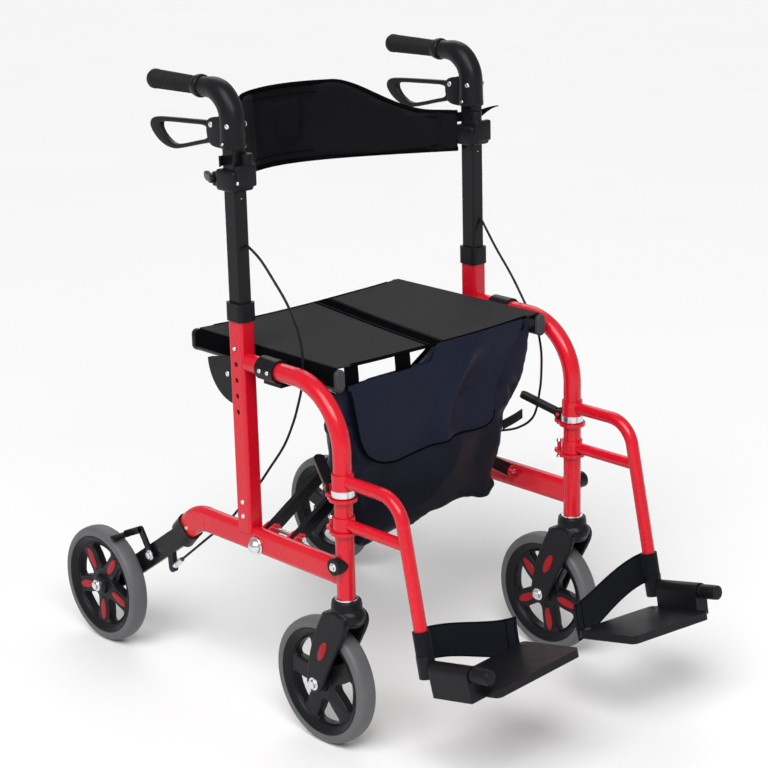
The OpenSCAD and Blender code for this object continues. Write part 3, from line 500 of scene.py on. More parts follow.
def cloth_look(name, low, high, rough, thread, sheen=0.1, depth=0.0004, shine=0.12):
    """Woven cloth: threads both ways, and slow patches of wear."""
    shader, place = new_look(name, sheen_weight=sheen, sheen_roughness=0.5, specular_ior_level=shine)
    scale = 0.32 / thread
    weave = (place.waves("X", scale) + place.waves("Y", scale) + place.waves("Z", scale)) * 0.333
    patches = place.noise(14, 4)
    tone = weave * 0.45 + patches * 0.55
    connect(shader, base_color=tone.blend(low, high), roughness=rough + (patches - 0.5) * 0.16,
            normal=relief(weave, 0.45, depth, 0.0005))


def bag_look():
    """Thin navy cloth, with painted shade that darkens it towards the bottom of the bag."""
    shader, place = new_look("bag_cloth", specular_ior_level=0.09)
    height = place.node("ShaderNodeSeparateXYZ", {0: place}, output=2)
    # Painted shade: the colour darkens below 0.46 m height, standing in for the shade on the bag's lower part
    # under the flap
    upper = place.node("ShaderNodeMapRange", {0: height, 1: 0.37, 2: 0.46})
    threads = (place.waves("Y", 400) + place.waves("Z", 400)) * 0.5
    patches = place.noise(11, 4)
    tone = upper * 0.62 + patches * 0.38
    connect(shader, base_color=tone.blend((0.0012, 0.0014, 0.0038), (0.0105, 0.013, 0.029)),
            roughness=0.44 + (patches - 0.5) * 0.2, normal=relief(threads, 0.3, 0.0003, 0.0005))


def steel_look(name, tone, rough):
    """Bright metal with fine turning marks."""
    shader, place = new_look(name, metallic=1.0)
    marks = place.noise(900, 2, (1, 0.08, 1))
    cloud = place.noise(60, 3)
    connect(shader, base_color=cloud.blend([0.86 * c for c in tone], tone),
            roughness=rough + (marks - 0.5) * 0.14, normal=relief(marks, 0.06, 0.0002, 0.0004))


def tyre_look():
    """Grey rubber, dusty and slightly mottled."""
    shader, place = new_look("tyre", specular_ior_level=0.4)
    dust = place.noise(26, 5)
    pores = place.noise(1300, 3)
    connect(shader, base_color=dust.blend((0.07, 0.07, 0.074), (0.115, 0.115, 0.12)),
            roughness=0.5 + (dust - 0.5) * 0.2, normal=relief(pores, 0.12, 0.0004, 0.0006))


def make_looks():
    paint_look("red_paint", (0.50, 0.003, 0.013), (0.60, 0.006, 0.020), 0.26, coat=0.25, grain=700,
               bump=0.02, shine=0.25)
    paint_look("red_trim", (0.26, 0.003, 0.008), (0.34, 0.005, 0.011), 0.34, coat=0.1)
    paint_look("black_plastic", (0.005, 0.005, 0.0065), (0.010, 0.010, 0.0125), 0.34)
    paint_look("black_metal", (0.004, 0.004, 0.005), (0.008, 0.008, 0.010), 0.28, coat=0.06, grain=900,
               bump=0.08)
    paint_look("grip_rubber", (0.007, 0.007, 0.008), (0.014, 0.014, 0.015), 0.55, grain=1100, bump=0.2)
    paint_look("grey_plastic", (0.035, 0.035, 0.038), (0.05, 0.05, 0.054), 0.45)
    paint_look("cable_sleeve", (0.005, 0.005, 0.006), (0.009, 0.009, 0.010), 0.36)
    steel_look("bright_steel", (0.78, 0.79, 0.81), 0.26)
    steel_look("brass", (0.72, 0.55, 0.27), 0.3)
    tyre_look()
    bag_look()
    cloth_look("seat_cloth", (0.013, 0.013, 0.014), (0.024, 0.024, 0.026), 0.74, 0.0011,
               sheen=0.04, shine=0.04)
    cloth_look("binding", (0.002, 0.002, 0.0025), (0.004, 0.004, 0.005), 0.66, 0.0014, sheen=0.0, shine=0.0)
    cloth_look("back_cloth", (0.003, 0.003, 0.004), (0.006, 0.006, 0.0075), 0.6, 0.0012,
               sheen=0.02, shine=0.06)
    cloth_look("webbing", (0.004, 0.0045, 0.0075), (0.008, 0.009, 0.014), 0.6, 0.0018,
               sheen=0.03, depth=0.0007, shine=0.08)
    shader, place = new_look("floor", roughness=0.8)
    connect(shader, base_color=place.noise(2, 3).blend((0.83, 0.83, 0.83), (0.86, 0.86, 0.86)))


# Sizes that a user may change


def length(name, description, default):
    return bpy.props.FloatProperty(name=name, description=description, default=default, unit="LENGTH")


class ChairWheels(bpy.types.PropertyGroup):
    """Sizes of the wheels"""
    radius: length("Radius", "Outer radius of a tyre", 0.1)
    width: length("Width", "Width of a tyre", 0.032)
    spokes: bpy.props.IntProperty(name="Spokes", description="Number of spokes in a rim", default=5)
    spoke_width: length("Spoke width", "Width of a spoke", 0.027)


class ChairCloth(bpy.types.PropertyGroup):
    """Sizes of the seat, bag, backrest and heel straps"""
    seat_thick: length("Seat thickness", "Thickness of the seat cloth", 0.0026)
    seat_sag: length("Seat sag", "Sag of the seat in the middle", 0.005)
    band_width: length("Band width", "Width of the dark band across the seat", 0.034)
    back_thick: length("Back thickness", "Thickness of the padded backrest", 0.009)
    piping: length("Piping", "Diameter of the piping on cloth edges", 0.0045)


class ChairHandles(bpy.types.PropertyGroup):
    """Sizes of the handles and cables"""
    grip_radius: length("Grip radius", "Radius of a grip over its ribs", 0.015)
    rib_pitch: length("Rib pitch", "Spacing of the ribs of a grip", 0.0066)
    cable: length("Cable", "Diameter of a brake cable", 0.004)


class ChairView(bpy.types.PropertyGroup):
    """Place and lens of the camera"""
    azimuth: bpy.props.FloatProperty(name="Azimuth", description="Camera's turn about the chair",
                                     default=math.radians(48.02), subtype="ANGLE")
    elevation: bpy.props.FloatProperty(name="Elevation", description="Camera's height as an angle",
                                       default=math.radians(16.84), subtype="ANGLE")
    roll: bpy.props.FloatProperty(name="Roll", description="Camera's roll", default=math.radians(-1.46),
                                  subtype="ANGLE")
    place: bpy.props.FloatVectorProperty(name="Place", description="Camera's place",
                                         default=(2.39246, -2.1273, 1.4485), subtype="XYZ")
    lens: bpy.props.FloatProperty(name="Lens", description="Focal length in millimetres", default=98.93)


# Pieces


class Piece:
    """What every operator here shares."""
    bl_options = {"REGISTER", "UNDO"}

    def execute(self, context):
        self.build(context.scene)
        return {"FINISHED"}


class CHAIR_OT_camera(Piece, bpy.types.Operator):
    """Places the camera as in the photograph"""
    bl_idname = "chair.camera"
    bl_label = "Camera"

    def build(self, scene):
        view = scene.chair_view
        ca, sa = math.cos(view.azimuth), math.sin(view.azimuth)
        ce, se = math.cos(view.elevation), math.sin(view.elevation)
        cr, sr = math.cos(view.roll), math.sin(view.roll)
        right = Vector((ca, sa, 0))
        back = Vector((sa * ce, -ca * ce, se))
        up = back.cross(right)
        axes = (cr * right + sr * up, -sr * right + cr * up, back)
        data = bpy.data.cameras.new("camera")
        data.lens = view.lens
        data.sensor_width = 36
        data.clip_end = 50
        camera = bpy.data.objects.new("camera", data)
        scene.collection.objects.link(camera)
        camera.matrix_world = Matrix.Translation(view.place) @ Matrix(axes).transposed().to_4x4()
        scene.camera = camera


class CHAIR_OT_looks(Piece, bpy.types.Operator):
    """Makes the materials and paints the CAD pieces"""
    bl_idname = "chair.looks"
    bl_label = "Materials"

    def build(self, scene):
        make_looks()
        slots = {part["node"]: part["material_slot"] for part in frame["record"]["subparts"]}
        for name, node in NODES.items():
            node.data.materials.clear()
            node.data.materials.append(LOOKS[slots[name]])


class CHAIR_OT_cables(Piece, bpy.types.Operator):
    """Runs the brake cables from the handles to the rear brackets"""
    bl_idname = "chair.cables"
    bl_label = "Brake cables"

    # Ahead of the upright, inboard of the side frame, height
    routes = {
        "right": [(15.3, 6, 746), (42, 7, 730), (70, 8, 703), (98, 11, 668), (115, 15.5, 625),
                  (120, 17.4, 585), (116, 17.4, 550), (106, 17, 518), (94, 16, 487), (70, 16, 445),
                  (33, 16, 400), (0, 16.5, 362), (-32, 16.5, 331), (-62, 16.5, 300), (-95, 16, 271),
                  (-130, 15, 244), (-166, 15, 216)],
        "left": [(15.5, -4, 706), (42, -10, 662), (72, -17, 617), (100, -19, 575), (125, -18, 543),
                 (141, -12, 510), (147, -7, 478), (146, -4, 441), (133, -3, 395), (108, 7, 372),
                 (66, 15, 358), (26, 16.5, 344), (-12, 16.5, 325), (-38, 16.5, 308), (-62, 16.5, 291),
                 (-95, 16, 268), (-130, 15, 243), (-166, 15, 216)]}
    barrel_tip = (-202.2, 15, 188)
    post_travel = 0.1

    def build(self, scene):
        width = scene.chair_handles.cable
        for side, sign in SIDES.items():
            route = [at(x, sign * (SIDE_MM - y), z) for x, y, z in self.routes[side] + [self.barrel_tip]]
            line = smooth_path(route, 8)
            cable = rod(f"{side}_cable", line, width / 2, 16)
            finished(cable, f"{side}_frame", "cable_sleeve")
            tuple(line[-1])
            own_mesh(cable)
            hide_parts(f"{side}_brake_cable")
            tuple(line[0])
            path_length(line)


class CHAIR_OT_wheels(Piece, bpy.types.Operator):
    """Models the tyres and the rims with their red inserts"""
    bl_idname = "chair.wheels"
    bl_label = "Wheels"

    # Each wheel's turn about its axle, in degrees
    turned = {"rear": 20, "front": 8}

    def build(self, scene):
        sizes = scene.chair_wheels
        out, half = 1000 * sizes.radius, 500 * sizes.width
        side = [(out - 20.5, 0.70 * half), (out - 17.5, 0.86 * half), (out - 14, 0.965 * half),
                (out - 9.5, half), (out - 6, 0.965 * half), (out - 5.2, 0.92 * half),
                (out - 4.4, 0.93 * half), (out - 2.2, 0.78 * half), (out - 0.9, 0.55 * half),
                (out - 0.15, 0.25 * half)]
        tyre = lathe("tyre", both_faces(side, [(out, 0)]), 96)
        modify(tyre, "SUBSURF", levels=1)
        parts = self.rim(sizes, out)
        for place, outboard in (("rear", 1), ("front", -1)):
            for name, sign in SIDES.items():
                body = f"{name}_{place}_wheel"
                centre = middle_of(f"{name}_{place}_rim")
                turn = Matrix.Translation(centre) @ Matrix.Rotation(math.radians(self.turned[place]), 4, "Y")
                # The inserts are on the face at -Y of the pattern
                if sign * outboard > 0:
                    turn = turn @ Matrix.Rotation(math.pi, 4, "Z")
                ring = moved(copied(tyre, f"{name}_{place}_tyre_skin"), turn @ STAND)
                finished(ring, body, "tyre", angle=50)
                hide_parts(f"{name}_{place}_tyre")
                for part, look, slot in parts:
                    piece = moved(copied(part, f"{name}_{place}_{part.name}"), turn @ STAND)
                    finished(piece, body, look, slot)
                    if part.name == "rim_skin":
                        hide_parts(f"{name}_{place}_rim")
        for part in [tyre] + [part for part, _, _ in parts]:
            bpy.data.objects.remove(part)

    def rim(self, sizes, out):
        """The pattern of a rim in X and Y, with its inserts on the face at +Z."""
        count, spoke = sizes.spokes, 1000 * sizes.spoke_width
        ring_in = out - 30
        holes = []
        for i in range(count):
            mid = 2 * math.pi * (i + 0.5) / count
            near, far = ring_in - 40, ring_in - 1
            gap = math.pi / count - math.asin(spoke / 2 / far)
            apex = math.pi / count - math.asin(spoke / 2 / near)
            between = mix(near, far, 0.5)
            edge = [(near, -apex), (between, -gap * 0.72), (far, -gap), (far, -gap / 3), (far, gap / 3),
                    (far, gap), (between, gap * 0.72), (near, apex)]
            holes.append(rounded([(r * math.cos(mid + a), r * math.sin(mid + a)) for r, a in edge]))
        disc = plate("rim_disc", [ellipse(2 * ring_in + 5, 2 * ring_in + 5, 96)] + holes, 16, 2.6)
        bead = [(ring_in, 6), (ring_in + 2, 9.5), (out - 20.5, 13.6), (out - 16.8, 15.6), (out - 15.4, 15.3),
                (out - 17.5, 12.5), (out - 19.6, 8)]
        ring = lathe("rim_ring", both_faces(bead), 96)
        hub = lathe("rim_hub", both_faces([(5.1, 16), (14, 16), (16.5, 14.5), (17.5, 9), (24, 7.2)]), 64)
        lips, inserts = [], []
        for i in range(count):
            turn = Matrix.Rotation(2 * math.pi * i / count, 4, "Z") @ Matrix.Translation((0.0475, 0, 0.0078))
            lips.append(moved(plate("lip", [ellipse(44, 19), ellipse(39, 14)], 2.4, 0.9), turn))
            inserts.append(moved(plate("insert", [ellipse(39.4, 14.4)], 3.2, 1.5), turn))
        rim = joined("rim_skin", [disc, ring, hub] + lips)
        return [(rim, "black_plastic", None), (joined("rim_inserts", inserts), "red_trim", "red_paint")]


class CHAIR_OT_forks(Piece, bpy.types.Operator):
    """Models the moulded caster forks with their trim and axle nuts"""
    bl_idname = "chair.forks"
    bl_label = "Caster forks"

    # The axle's place behind and outboard of the swivel, and above the floor
    trail, half_width, axle_z = 0.053, 0.0252, 0.1

    def build(self, scene):
        leg = [(24, 216), (20, 200), (4, 172), (-14, 140), (-28, 112), (-37, 92), (-53, 82.5), (-68, 90),
               (-71, 104), (-64, 140), (-52, 176), (-40, 202), (-29, 222), (-8, 230), (16, 228)]
        parts = [lathe("crown", [(0, 206), (23, 206), (25.3, 209), (25.6, 220), (23.5, 231), (19, 238),
                                 (19, 244.8), (0, 244.8)])]
        only(None)
        bpy.ops.mesh.primitive_uv_sphere_add(segments=32, ring_count=16, radius=0.02)
        nose = named("nose")
        nose.data.transform(Matrix.Translation((0.009, 0, 0.2225)) @ Matrix.Diagonal((1.12, 1.1, 0.78, 1)))
        parts.append(nose)
        for face in (-1, 1):
            side = plate("leg", [rounded(leg, 2)], 8.2, 2.4)
            parts.append(moved(side, Matrix.Translation((0, face * 0.0212, 0)) @ STAND))
        roof = block("roof", (52, 46, 15), 4)
        parts.append(moved(roof, Matrix.Translation((-0.008, 0, 0.2150))))
        shell = joined("fork_pattern", parts)
        modify(shell, "REMESH", mode="VOXEL", voxel_size=0.0013)
        modify(shell, "SMOOTH", factor=0.6, iterations=7)
        for name, sign in SIDES.items():
            body = f"{name}_caster"
            tube_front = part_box(f"{name}_front_tube")[1].x
            swivel = Vector((tube_front - 0.014, sign * SIDE_Y, 0))
            turn = Matrix.Translation(swivel)
            fork = finished(moved(copied(shell, f"{name}_fork_skin"), turn), body, "black_plastic", angle=60)
            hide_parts(f"{name}_caster_fork")
            collar = lathe(f"{name}_fork_collar", [(16, 227), (22.4, 227), (23.4, 229), (23.4, 238),
                                                   (22.4, 240), (22.6, 243), (21.4, 244.9), (16, 244.9)])
            finished(moved(collar, turn), body, "black_plastic")
            ring = lathe(f"{name}_fork_ring", [(14.1, 245.2), (17.2, 245.2), (17.6, 246.2), (17.2, 248.4),
                                               (14.1, 248.8)])
            finished(moved(ring, turn), f"{name}_frame", "bright_steel")
            ovals, nuts = [], []
            for face in (-1, 1):
                lean = Matrix.Rotation(math.radians(-62), 4, "Y")
                place = Matrix.Translation(swivel + Vector((-0.030, face * self.half_width, 0.160)))
                oval = plate("oval", [ellipse(38, 14)], 3.4, 1.4)
                ovals.append(moved(oval, place @ lean @ STAND))
                axle = swivel + Vector((-self.trail, face * self.half_width, self.axle_z))
                nuts.append(bolt("nut", axle, (0, face, 0), 7.5, 5))
            finished(joined(f"{name}_fork_trim", ovals), body, "red_trim", "red_paint")
            finished(joined(f"{name}_fork_nuts", nuts), body, "bright_steel")
        bpy.data.objects.remove(shell)


class CHAIR_OT_seat(Piece, bpy.types.Operator):
    """Models the slung seat with its bindings and dark band"""
    bl_idname = "chair.seat"
    bl_label = "Seat"

    rail_y, rail_r, rail_gap, wrap_z, flap_z = RAIL_Y, 8.5, 0.3, 573.8, 557.3
    front, rear, piping_end = 178, -148, 184
    # Share of the width that is left when the chair is folded
    folded = 0.44

    def section(self, u, sag, grow):
        """A point of the seat's cross-section, across (y, z) in millimetres, for u from 0 to 1."""
        r = self.rail_r + self.rail_gap + grow
        drop = self.wrap_z - self.flap_z
        quarter = r * math.pi / 2
        total = 2 * (drop + quarter + self.rail_y)
        run = abs(u - 0.5) * total
        sign = 1 if u > 0.5 else -1
        if run < self.rail_y:
            t = run / self.rail_y
            return sign * run, self.wrap_z + r - sag * (1 - t * t)
        run -= self.rail_y
        if run < quarter:
            return sign * (self.rail_y + r * math.sin(run / r)), self.wrap_z + r * math.cos(run / r)
        return sign * (self.rail_y + r), self.wrap_z - (run - quarter)

    def point(self, u, ahead, sag, grow):
        y, z = self.section(u, sag, grow)
        inner = max(0.0, 1 - abs(y) / 200)
        along = (ahead - self.rear) / (self.front - self.rear)
        pull = 1.1 * math.sin(9 * along + 0.02 * y) * inner * (1 - inner) * 4 * 0.4
        slack = -1.0 * inner * math.sin(math.pi * along)
        return at(ahead, y, z + pull + slack)

    def build(self, scene):
        sizes = scene.chair_cloth
        sag, thick = 1000 * sizes.seat_sag, 1000 * sizes.seat_thick
        middle = thick / 2
        r = self.rail_r + self.rail_gap + middle
        width = 2 * (self.wrap_z - self.flap_z + r * math.pi / 2 + self.rail_y)
        rim = 0.5 - self.rail_y / width

        def sling_point(u, v):
            return self.point(mix(rim, 1 - rim, u), mix(self.rear, self.front, v), sag, middle)

        cloth = thicken(patch("seat_sling", 120, 48, sling_point), sizes.seat_thick)
        edges = []
        for ahead in (self.front - 1.5, self.rear + 1.5):
            line = [self.point(0.5 + self.piping_end * (i / 30 - 1) / width, ahead, sag, middle)
                    for i in range(61)]
            edges.append(rod("edge", line, sizes.piping * 0.62, 12))
        half = 500 * sizes.band_width

        def band_point(u, v):
            y = mix(39, -12, v) + mix(-half, half, u)
            return self.point(0.5 + y / width, mix(self.rear + 2, self.front - 2, v), sag, thick + 0.5)

        band = thicken(patch("seat_band", 10, 48, band_point), 0.0012)
        lines = []
        for u in (0.12, 0.88):
            line = [band_point(u, i / 40) + Vector((0, 0, 0.0005)) for i in range(41)]
            lines.append(rod("stitch", line, 0.0006, 8))
        for name, start, arm in (("right", 0, "arm_b"), ("left", 1 - rim, "arm_a")):
            def side_point(u, v):
                return self.point(start + rim * u, mix(self.rear, self.front, v), sag, 0.5)

            side = thicken(patch(f"{name}_seat_side", 14, 48, side_point), 0.001)
            finished(side, arm, "binding", "seat_cloth")
            rim * width / 1000
        pieces = [(cloth, "seat_cloth"), (joined("seat_binding", edges), "binding"), (band, "binding"),
                  (joined("seat_stitching", lines), "seat_cloth")]
        for obj, look in pieces:
            finished(obj, "seat", look, "seat_cloth")
            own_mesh(obj)
        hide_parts("seat_fabric")
        [obj for obj, _ in pieces[1:]]


class CHAIR_OT_bag(Piece, bpy.types.Operator):
    """Models the bag under the seat, with its flap, piping and tab"""
    bl_idname = "chair.bag"
    bl_label = "Bag"

    front, back = 184, 124
    # Share of the width that is left when the chair is folded
    folded = 0.39
    # The far edge by height, the bottom and the brim by the place across, the flap's edge by its own share
    far_edge = [(299, 100), (318, 121), (334, 113), (368, 130), (435, 143), (487, 174), (530, 189),
                (574, 197)]
    bottom = [(-200, 297), (-130, 293), (-76, 294), (-31, 312), (49, 309), (100, 300), (130, 300)]
    brim = [(-200, 556), (-36, 558), (-16, 572), (200, 572)]
    flap_edge = [(0, 476), (0.02, 458), (0.05, 444), (0.10, 433), (0.17, 425), (0.26, 422), (0.45, 427),
                 (0.69, 432), (0.92, 431), (0.97, 434), (1, 446)]

    def limits(self, across):
        """The bag's lowest and highest places, for a share across it."""
        return through(self.bottom, mix(-192, 120, across)), through(self.brim, mix(-201, 197, across))

    def stand(self, s, t):
        """How far ahead the front lies, for s across and t up."""
        return self.front - 7 + 6 * (1 - (2 * s - 1) ** 4) * (1 - (2 * t - 1) ** 4)

    def front_point(self, s, t):
        low, high = self.limits(s)
        z = mix(low, high, t)
        corner = 1 - math.sqrt(max(0.0, 1 - max(0.0, 1 - t / 0.1) ** 2))
        right = mix(-189, -201, t) + 16 * corner
        return at(self.stand(s, t), mix(right, through(self.far_edge, z), s), z)

    def crumple(self, shell):
        """Creases the cloth: long folds and small ones, fainter under the flap and gone at the brim."""
        creases = []
        for point in shell.data.vertices:
            y, z = 10 * point.co.y, 10 * point.co.z
            slow = noise.noise(Vector((1.05 * y + 0.15 * z, 0.4 * z, 3.1)))
            slant = noise.noise(Vector((0.9 * y - 0.8 * z, 0.7 * z + 0.3 * y, 7.7)))
            fine = noise.noise(Vector((2.6 * y, 1.9 * z, 1.2)))
            amount = mix(0.45, 1.0, ease((4.45 - z) / 0.4)) * ease((5.6 - z) / 0.3)
            creases.append(amount * (0.011 * slow + 0.008 * (0.7 - 2.2 * abs(slant)) + 0.0025 * fine))
        normals = [point.normal.copy() for point in shell.data.vertices]
        for point, normal, crease in zip(shell.data.vertices, normals, creases):
            point.co += normal * crease

    def flap_point(self, u, v):
        """The flap's points: u across it, v from its top to its lower edge."""
        y = mix(mix(-199, -187, v), mix(172, 98, ease(v * 1.2)), u)
        high = through(self.brim, y) + 10 * ease((y + 36) / 20)
        z = mix(high, through(self.flap_edge, u), v)
        s, t = (y + 200) / 390, (z - 300) / 270
        slow = noise.noise(Vector((2.0 * u + 0.9 * v, 1.3 * v, 4.4)))
        fold = (math.exp(-((u - 0.66 + 0.06 * v) / 0.055) ** 2)
                - 0.6 * math.exp(-((u - 0.80 + 0.05 * v) / 0.06) ** 2))
        lift = mix(10.5, 4.0, ease((u - 0.72) / 0.28)) + 3 * v
        return at(self.stand(s, t) + lift + (9 * slow + 9 * fold) * ease(v / 0.3), y, z)

    def build(self, scene):
        sizes = scene.chair_cloth
        only(None)
        bpy.ops.mesh.primitive_cube_add(size=2)
        shell = named("bag_shell")
        edit(shell)
        bpy.ops.mesh.subdivide(number_cuts=40)
        bpy.ops.object.mode_set(mode="OBJECT")
        rear = at(self.back, 0, 0).x
        for point in shell.data.vertices:
            depth, s, t = ((c + 1) / 2 for c in point.co)
            face = self.front_point(s, t)
            # The rear brim hangs lower than the front one
            point.co = (mix(rear, face.x, depth), face.y, face.z - 0.045 * (1 - depth) * t ** 3)
        modify(shell, "REMESH", mode="VOXEL", voxel_size=0.0055)
        modify(shell, "SMOOTH", factor=0.5, iterations=3)
        billow(shell, lambda co: co.z > 0.5, 3.0, 0.005)
        modify(shell, "SUBSURF", levels=1)
        self.crumple(shell)
        flap = patch("bag_flap", 72, 40, self.flap_point)
        thicken(flap, 0.0022)
        rim = [self.flap_point(0, i / 20) for i in range(2, 20)]
        rim += [self.flap_point(i / 72, 1) for i in range(73)] + [self.flap_point(1, 0.95)]
        piping = rod("flap_piping", rim, sizes.piping * 0.45, 10)
        straps = []
        for y, half in ((-182, 13), (-80, 15), (8, 13), (80, 13), (165, 13)):
            high = through(self.brim, y)
            line = [(high - 16, self.front - 8), (high + 2, self.front - 7), (581, self.front - 9)]

            def strap_point(u, v):
                z, x = (mix(a, b, v * 2) if v < 0.5 else mix(b, c, v * 2 - 1) for a, b, c in zip(*line))
                return at(x, y + mix(-half, half, u), z)

            straps.append(thicken(patch("strap", 4, 8, strap_point), 0.0018))

        def tab_point(u, v):
            return at(174 + 3 * math.sin(3 * v), mix(134, 177, v), mix(408, 423, u) + 9 * v + 4 * v * (1 - v))

        tab = thicken(patch("bag_tab", 8, 12, tab_point), 0.002)
        pieces = [(shell, "bag_cloth"), (flap, "bag_cloth"), (piping, "binding"),
                  (joined("bag_straps", straps), "binding"), (tab, "webbing")]
        flap_pieces = [obj for obj, _ in pieces[2:]]
        for obj, look in pieces:
            finished(obj, "seat", look, "bag_cloth", 60)
            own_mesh(obj)
        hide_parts("bag")
        across = (self.flap_point(1, 0) - self.flap_point(0, 0)).length


class CHAIR_OT_backrest(Piece, bpy.types.Operator):
    """Models the bowed padded backrest with its bindings and the tails of its straps"""
    bl_idname = "chair.backrest"
    bl_label = "Backrest"

    half, low, dip, end_high, crest, bow, end_x = 226.2, 821.3, 13, 59, 52, 180, -14
    # Share of the width that is left when the chair is folded
    folded = 0.444
    tail = smooth_path([Vector(spot) for spot in ((-20, 225.5), (-18, 231), (-17.5, 246), (-15, 258),
                                                  (-4, 267), (8, 276), (20, 286))], 8)

    def point(self, u, v, out=0.0):
        """A point of the backrest: u from right to left, v from its lower to its upper edge."""
        w = 2 * u - 1
        rise = ease((0.9 - abs(w)) / 0.5)
        low = self.low - self.dip * (1 - abs(w) ** 2.5)
        high = self.low + self.end_high + self.crest * rise
        normal = Vector((self.half, -2 * self.bow * w, 0)).normalized()
        lean = -3.5 * math.sin(math.pi * v) * rise
        spot = at(self.end_x - self.bow * (1 - w * w) + lean, w * self.half, mix(low, high, v))
        return spot + normal * (out / 1000)

    def tail_point(self, u, v, sign):
        """The strap round the back of a post, above the clamp, and its loose tail."""
        place = self.tail[round(u * 48)]
        tip = ease((u - 0.55) / 0.45)
        z = mix(mix(864, 879, v), 886 + 1.5 * v, tip)
        return at(place.x, sign * place.y, z)

    def build(self, scene):
        sizes = scene.chair_cloth
        pad = tidy_mesh(thicken(patch("back_pad", 110, 26, self.point), sizes.back_thick * 0.7))
        hold = self.half / 1000 - 0.03
        billow(pad, lambda co: abs(co.y) > hold, 3.0, 0.004)
        modify(pad, "SUBSURF", levels=1)
        binding = [rod("edge", [self.point(i / 110, v) for i in range(111)], sizes.piping * 0.85, 12)
                   for v in (0, 1)]
        lines = []
        for v in (0.12, 0.88):
            for face in (-1, 1):
                line = [self.point(mix(0.03, 0.97, i / 90), v, face * 4.2) for i in range(91)]
                lines.append(rod("stitch", line, 0.0007, 8))
        sleeves = [rod("sleeve", [self.point(u, i / 12) for i in range(13)], 0.0052, 16)
                   for u in (0.035, 0.965)]
        pieces = [(pad, "back_cloth"), (joined("back_binding", binding), "binding"),
                  (joined("back_stitching", lines), "binding"),
                  (joined("back_sleeves", sleeves), "back_cloth")]
        for name, sign in SIDES.items():
            tail = patch(f"{name}_back_tail", 48, 6, lambda u, v: self.tail_point(u, v, sign))
            thicken(tail, 0.0022)
            finished(tail, f"{name}_post", "back_cloth", angle=60)
            long = path_length(self.tail) / 1000
        for obj, look in pieces:
            finished(obj, "right_post", look, "back_cloth", 60)
            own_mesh(obj)
        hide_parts("backrest")


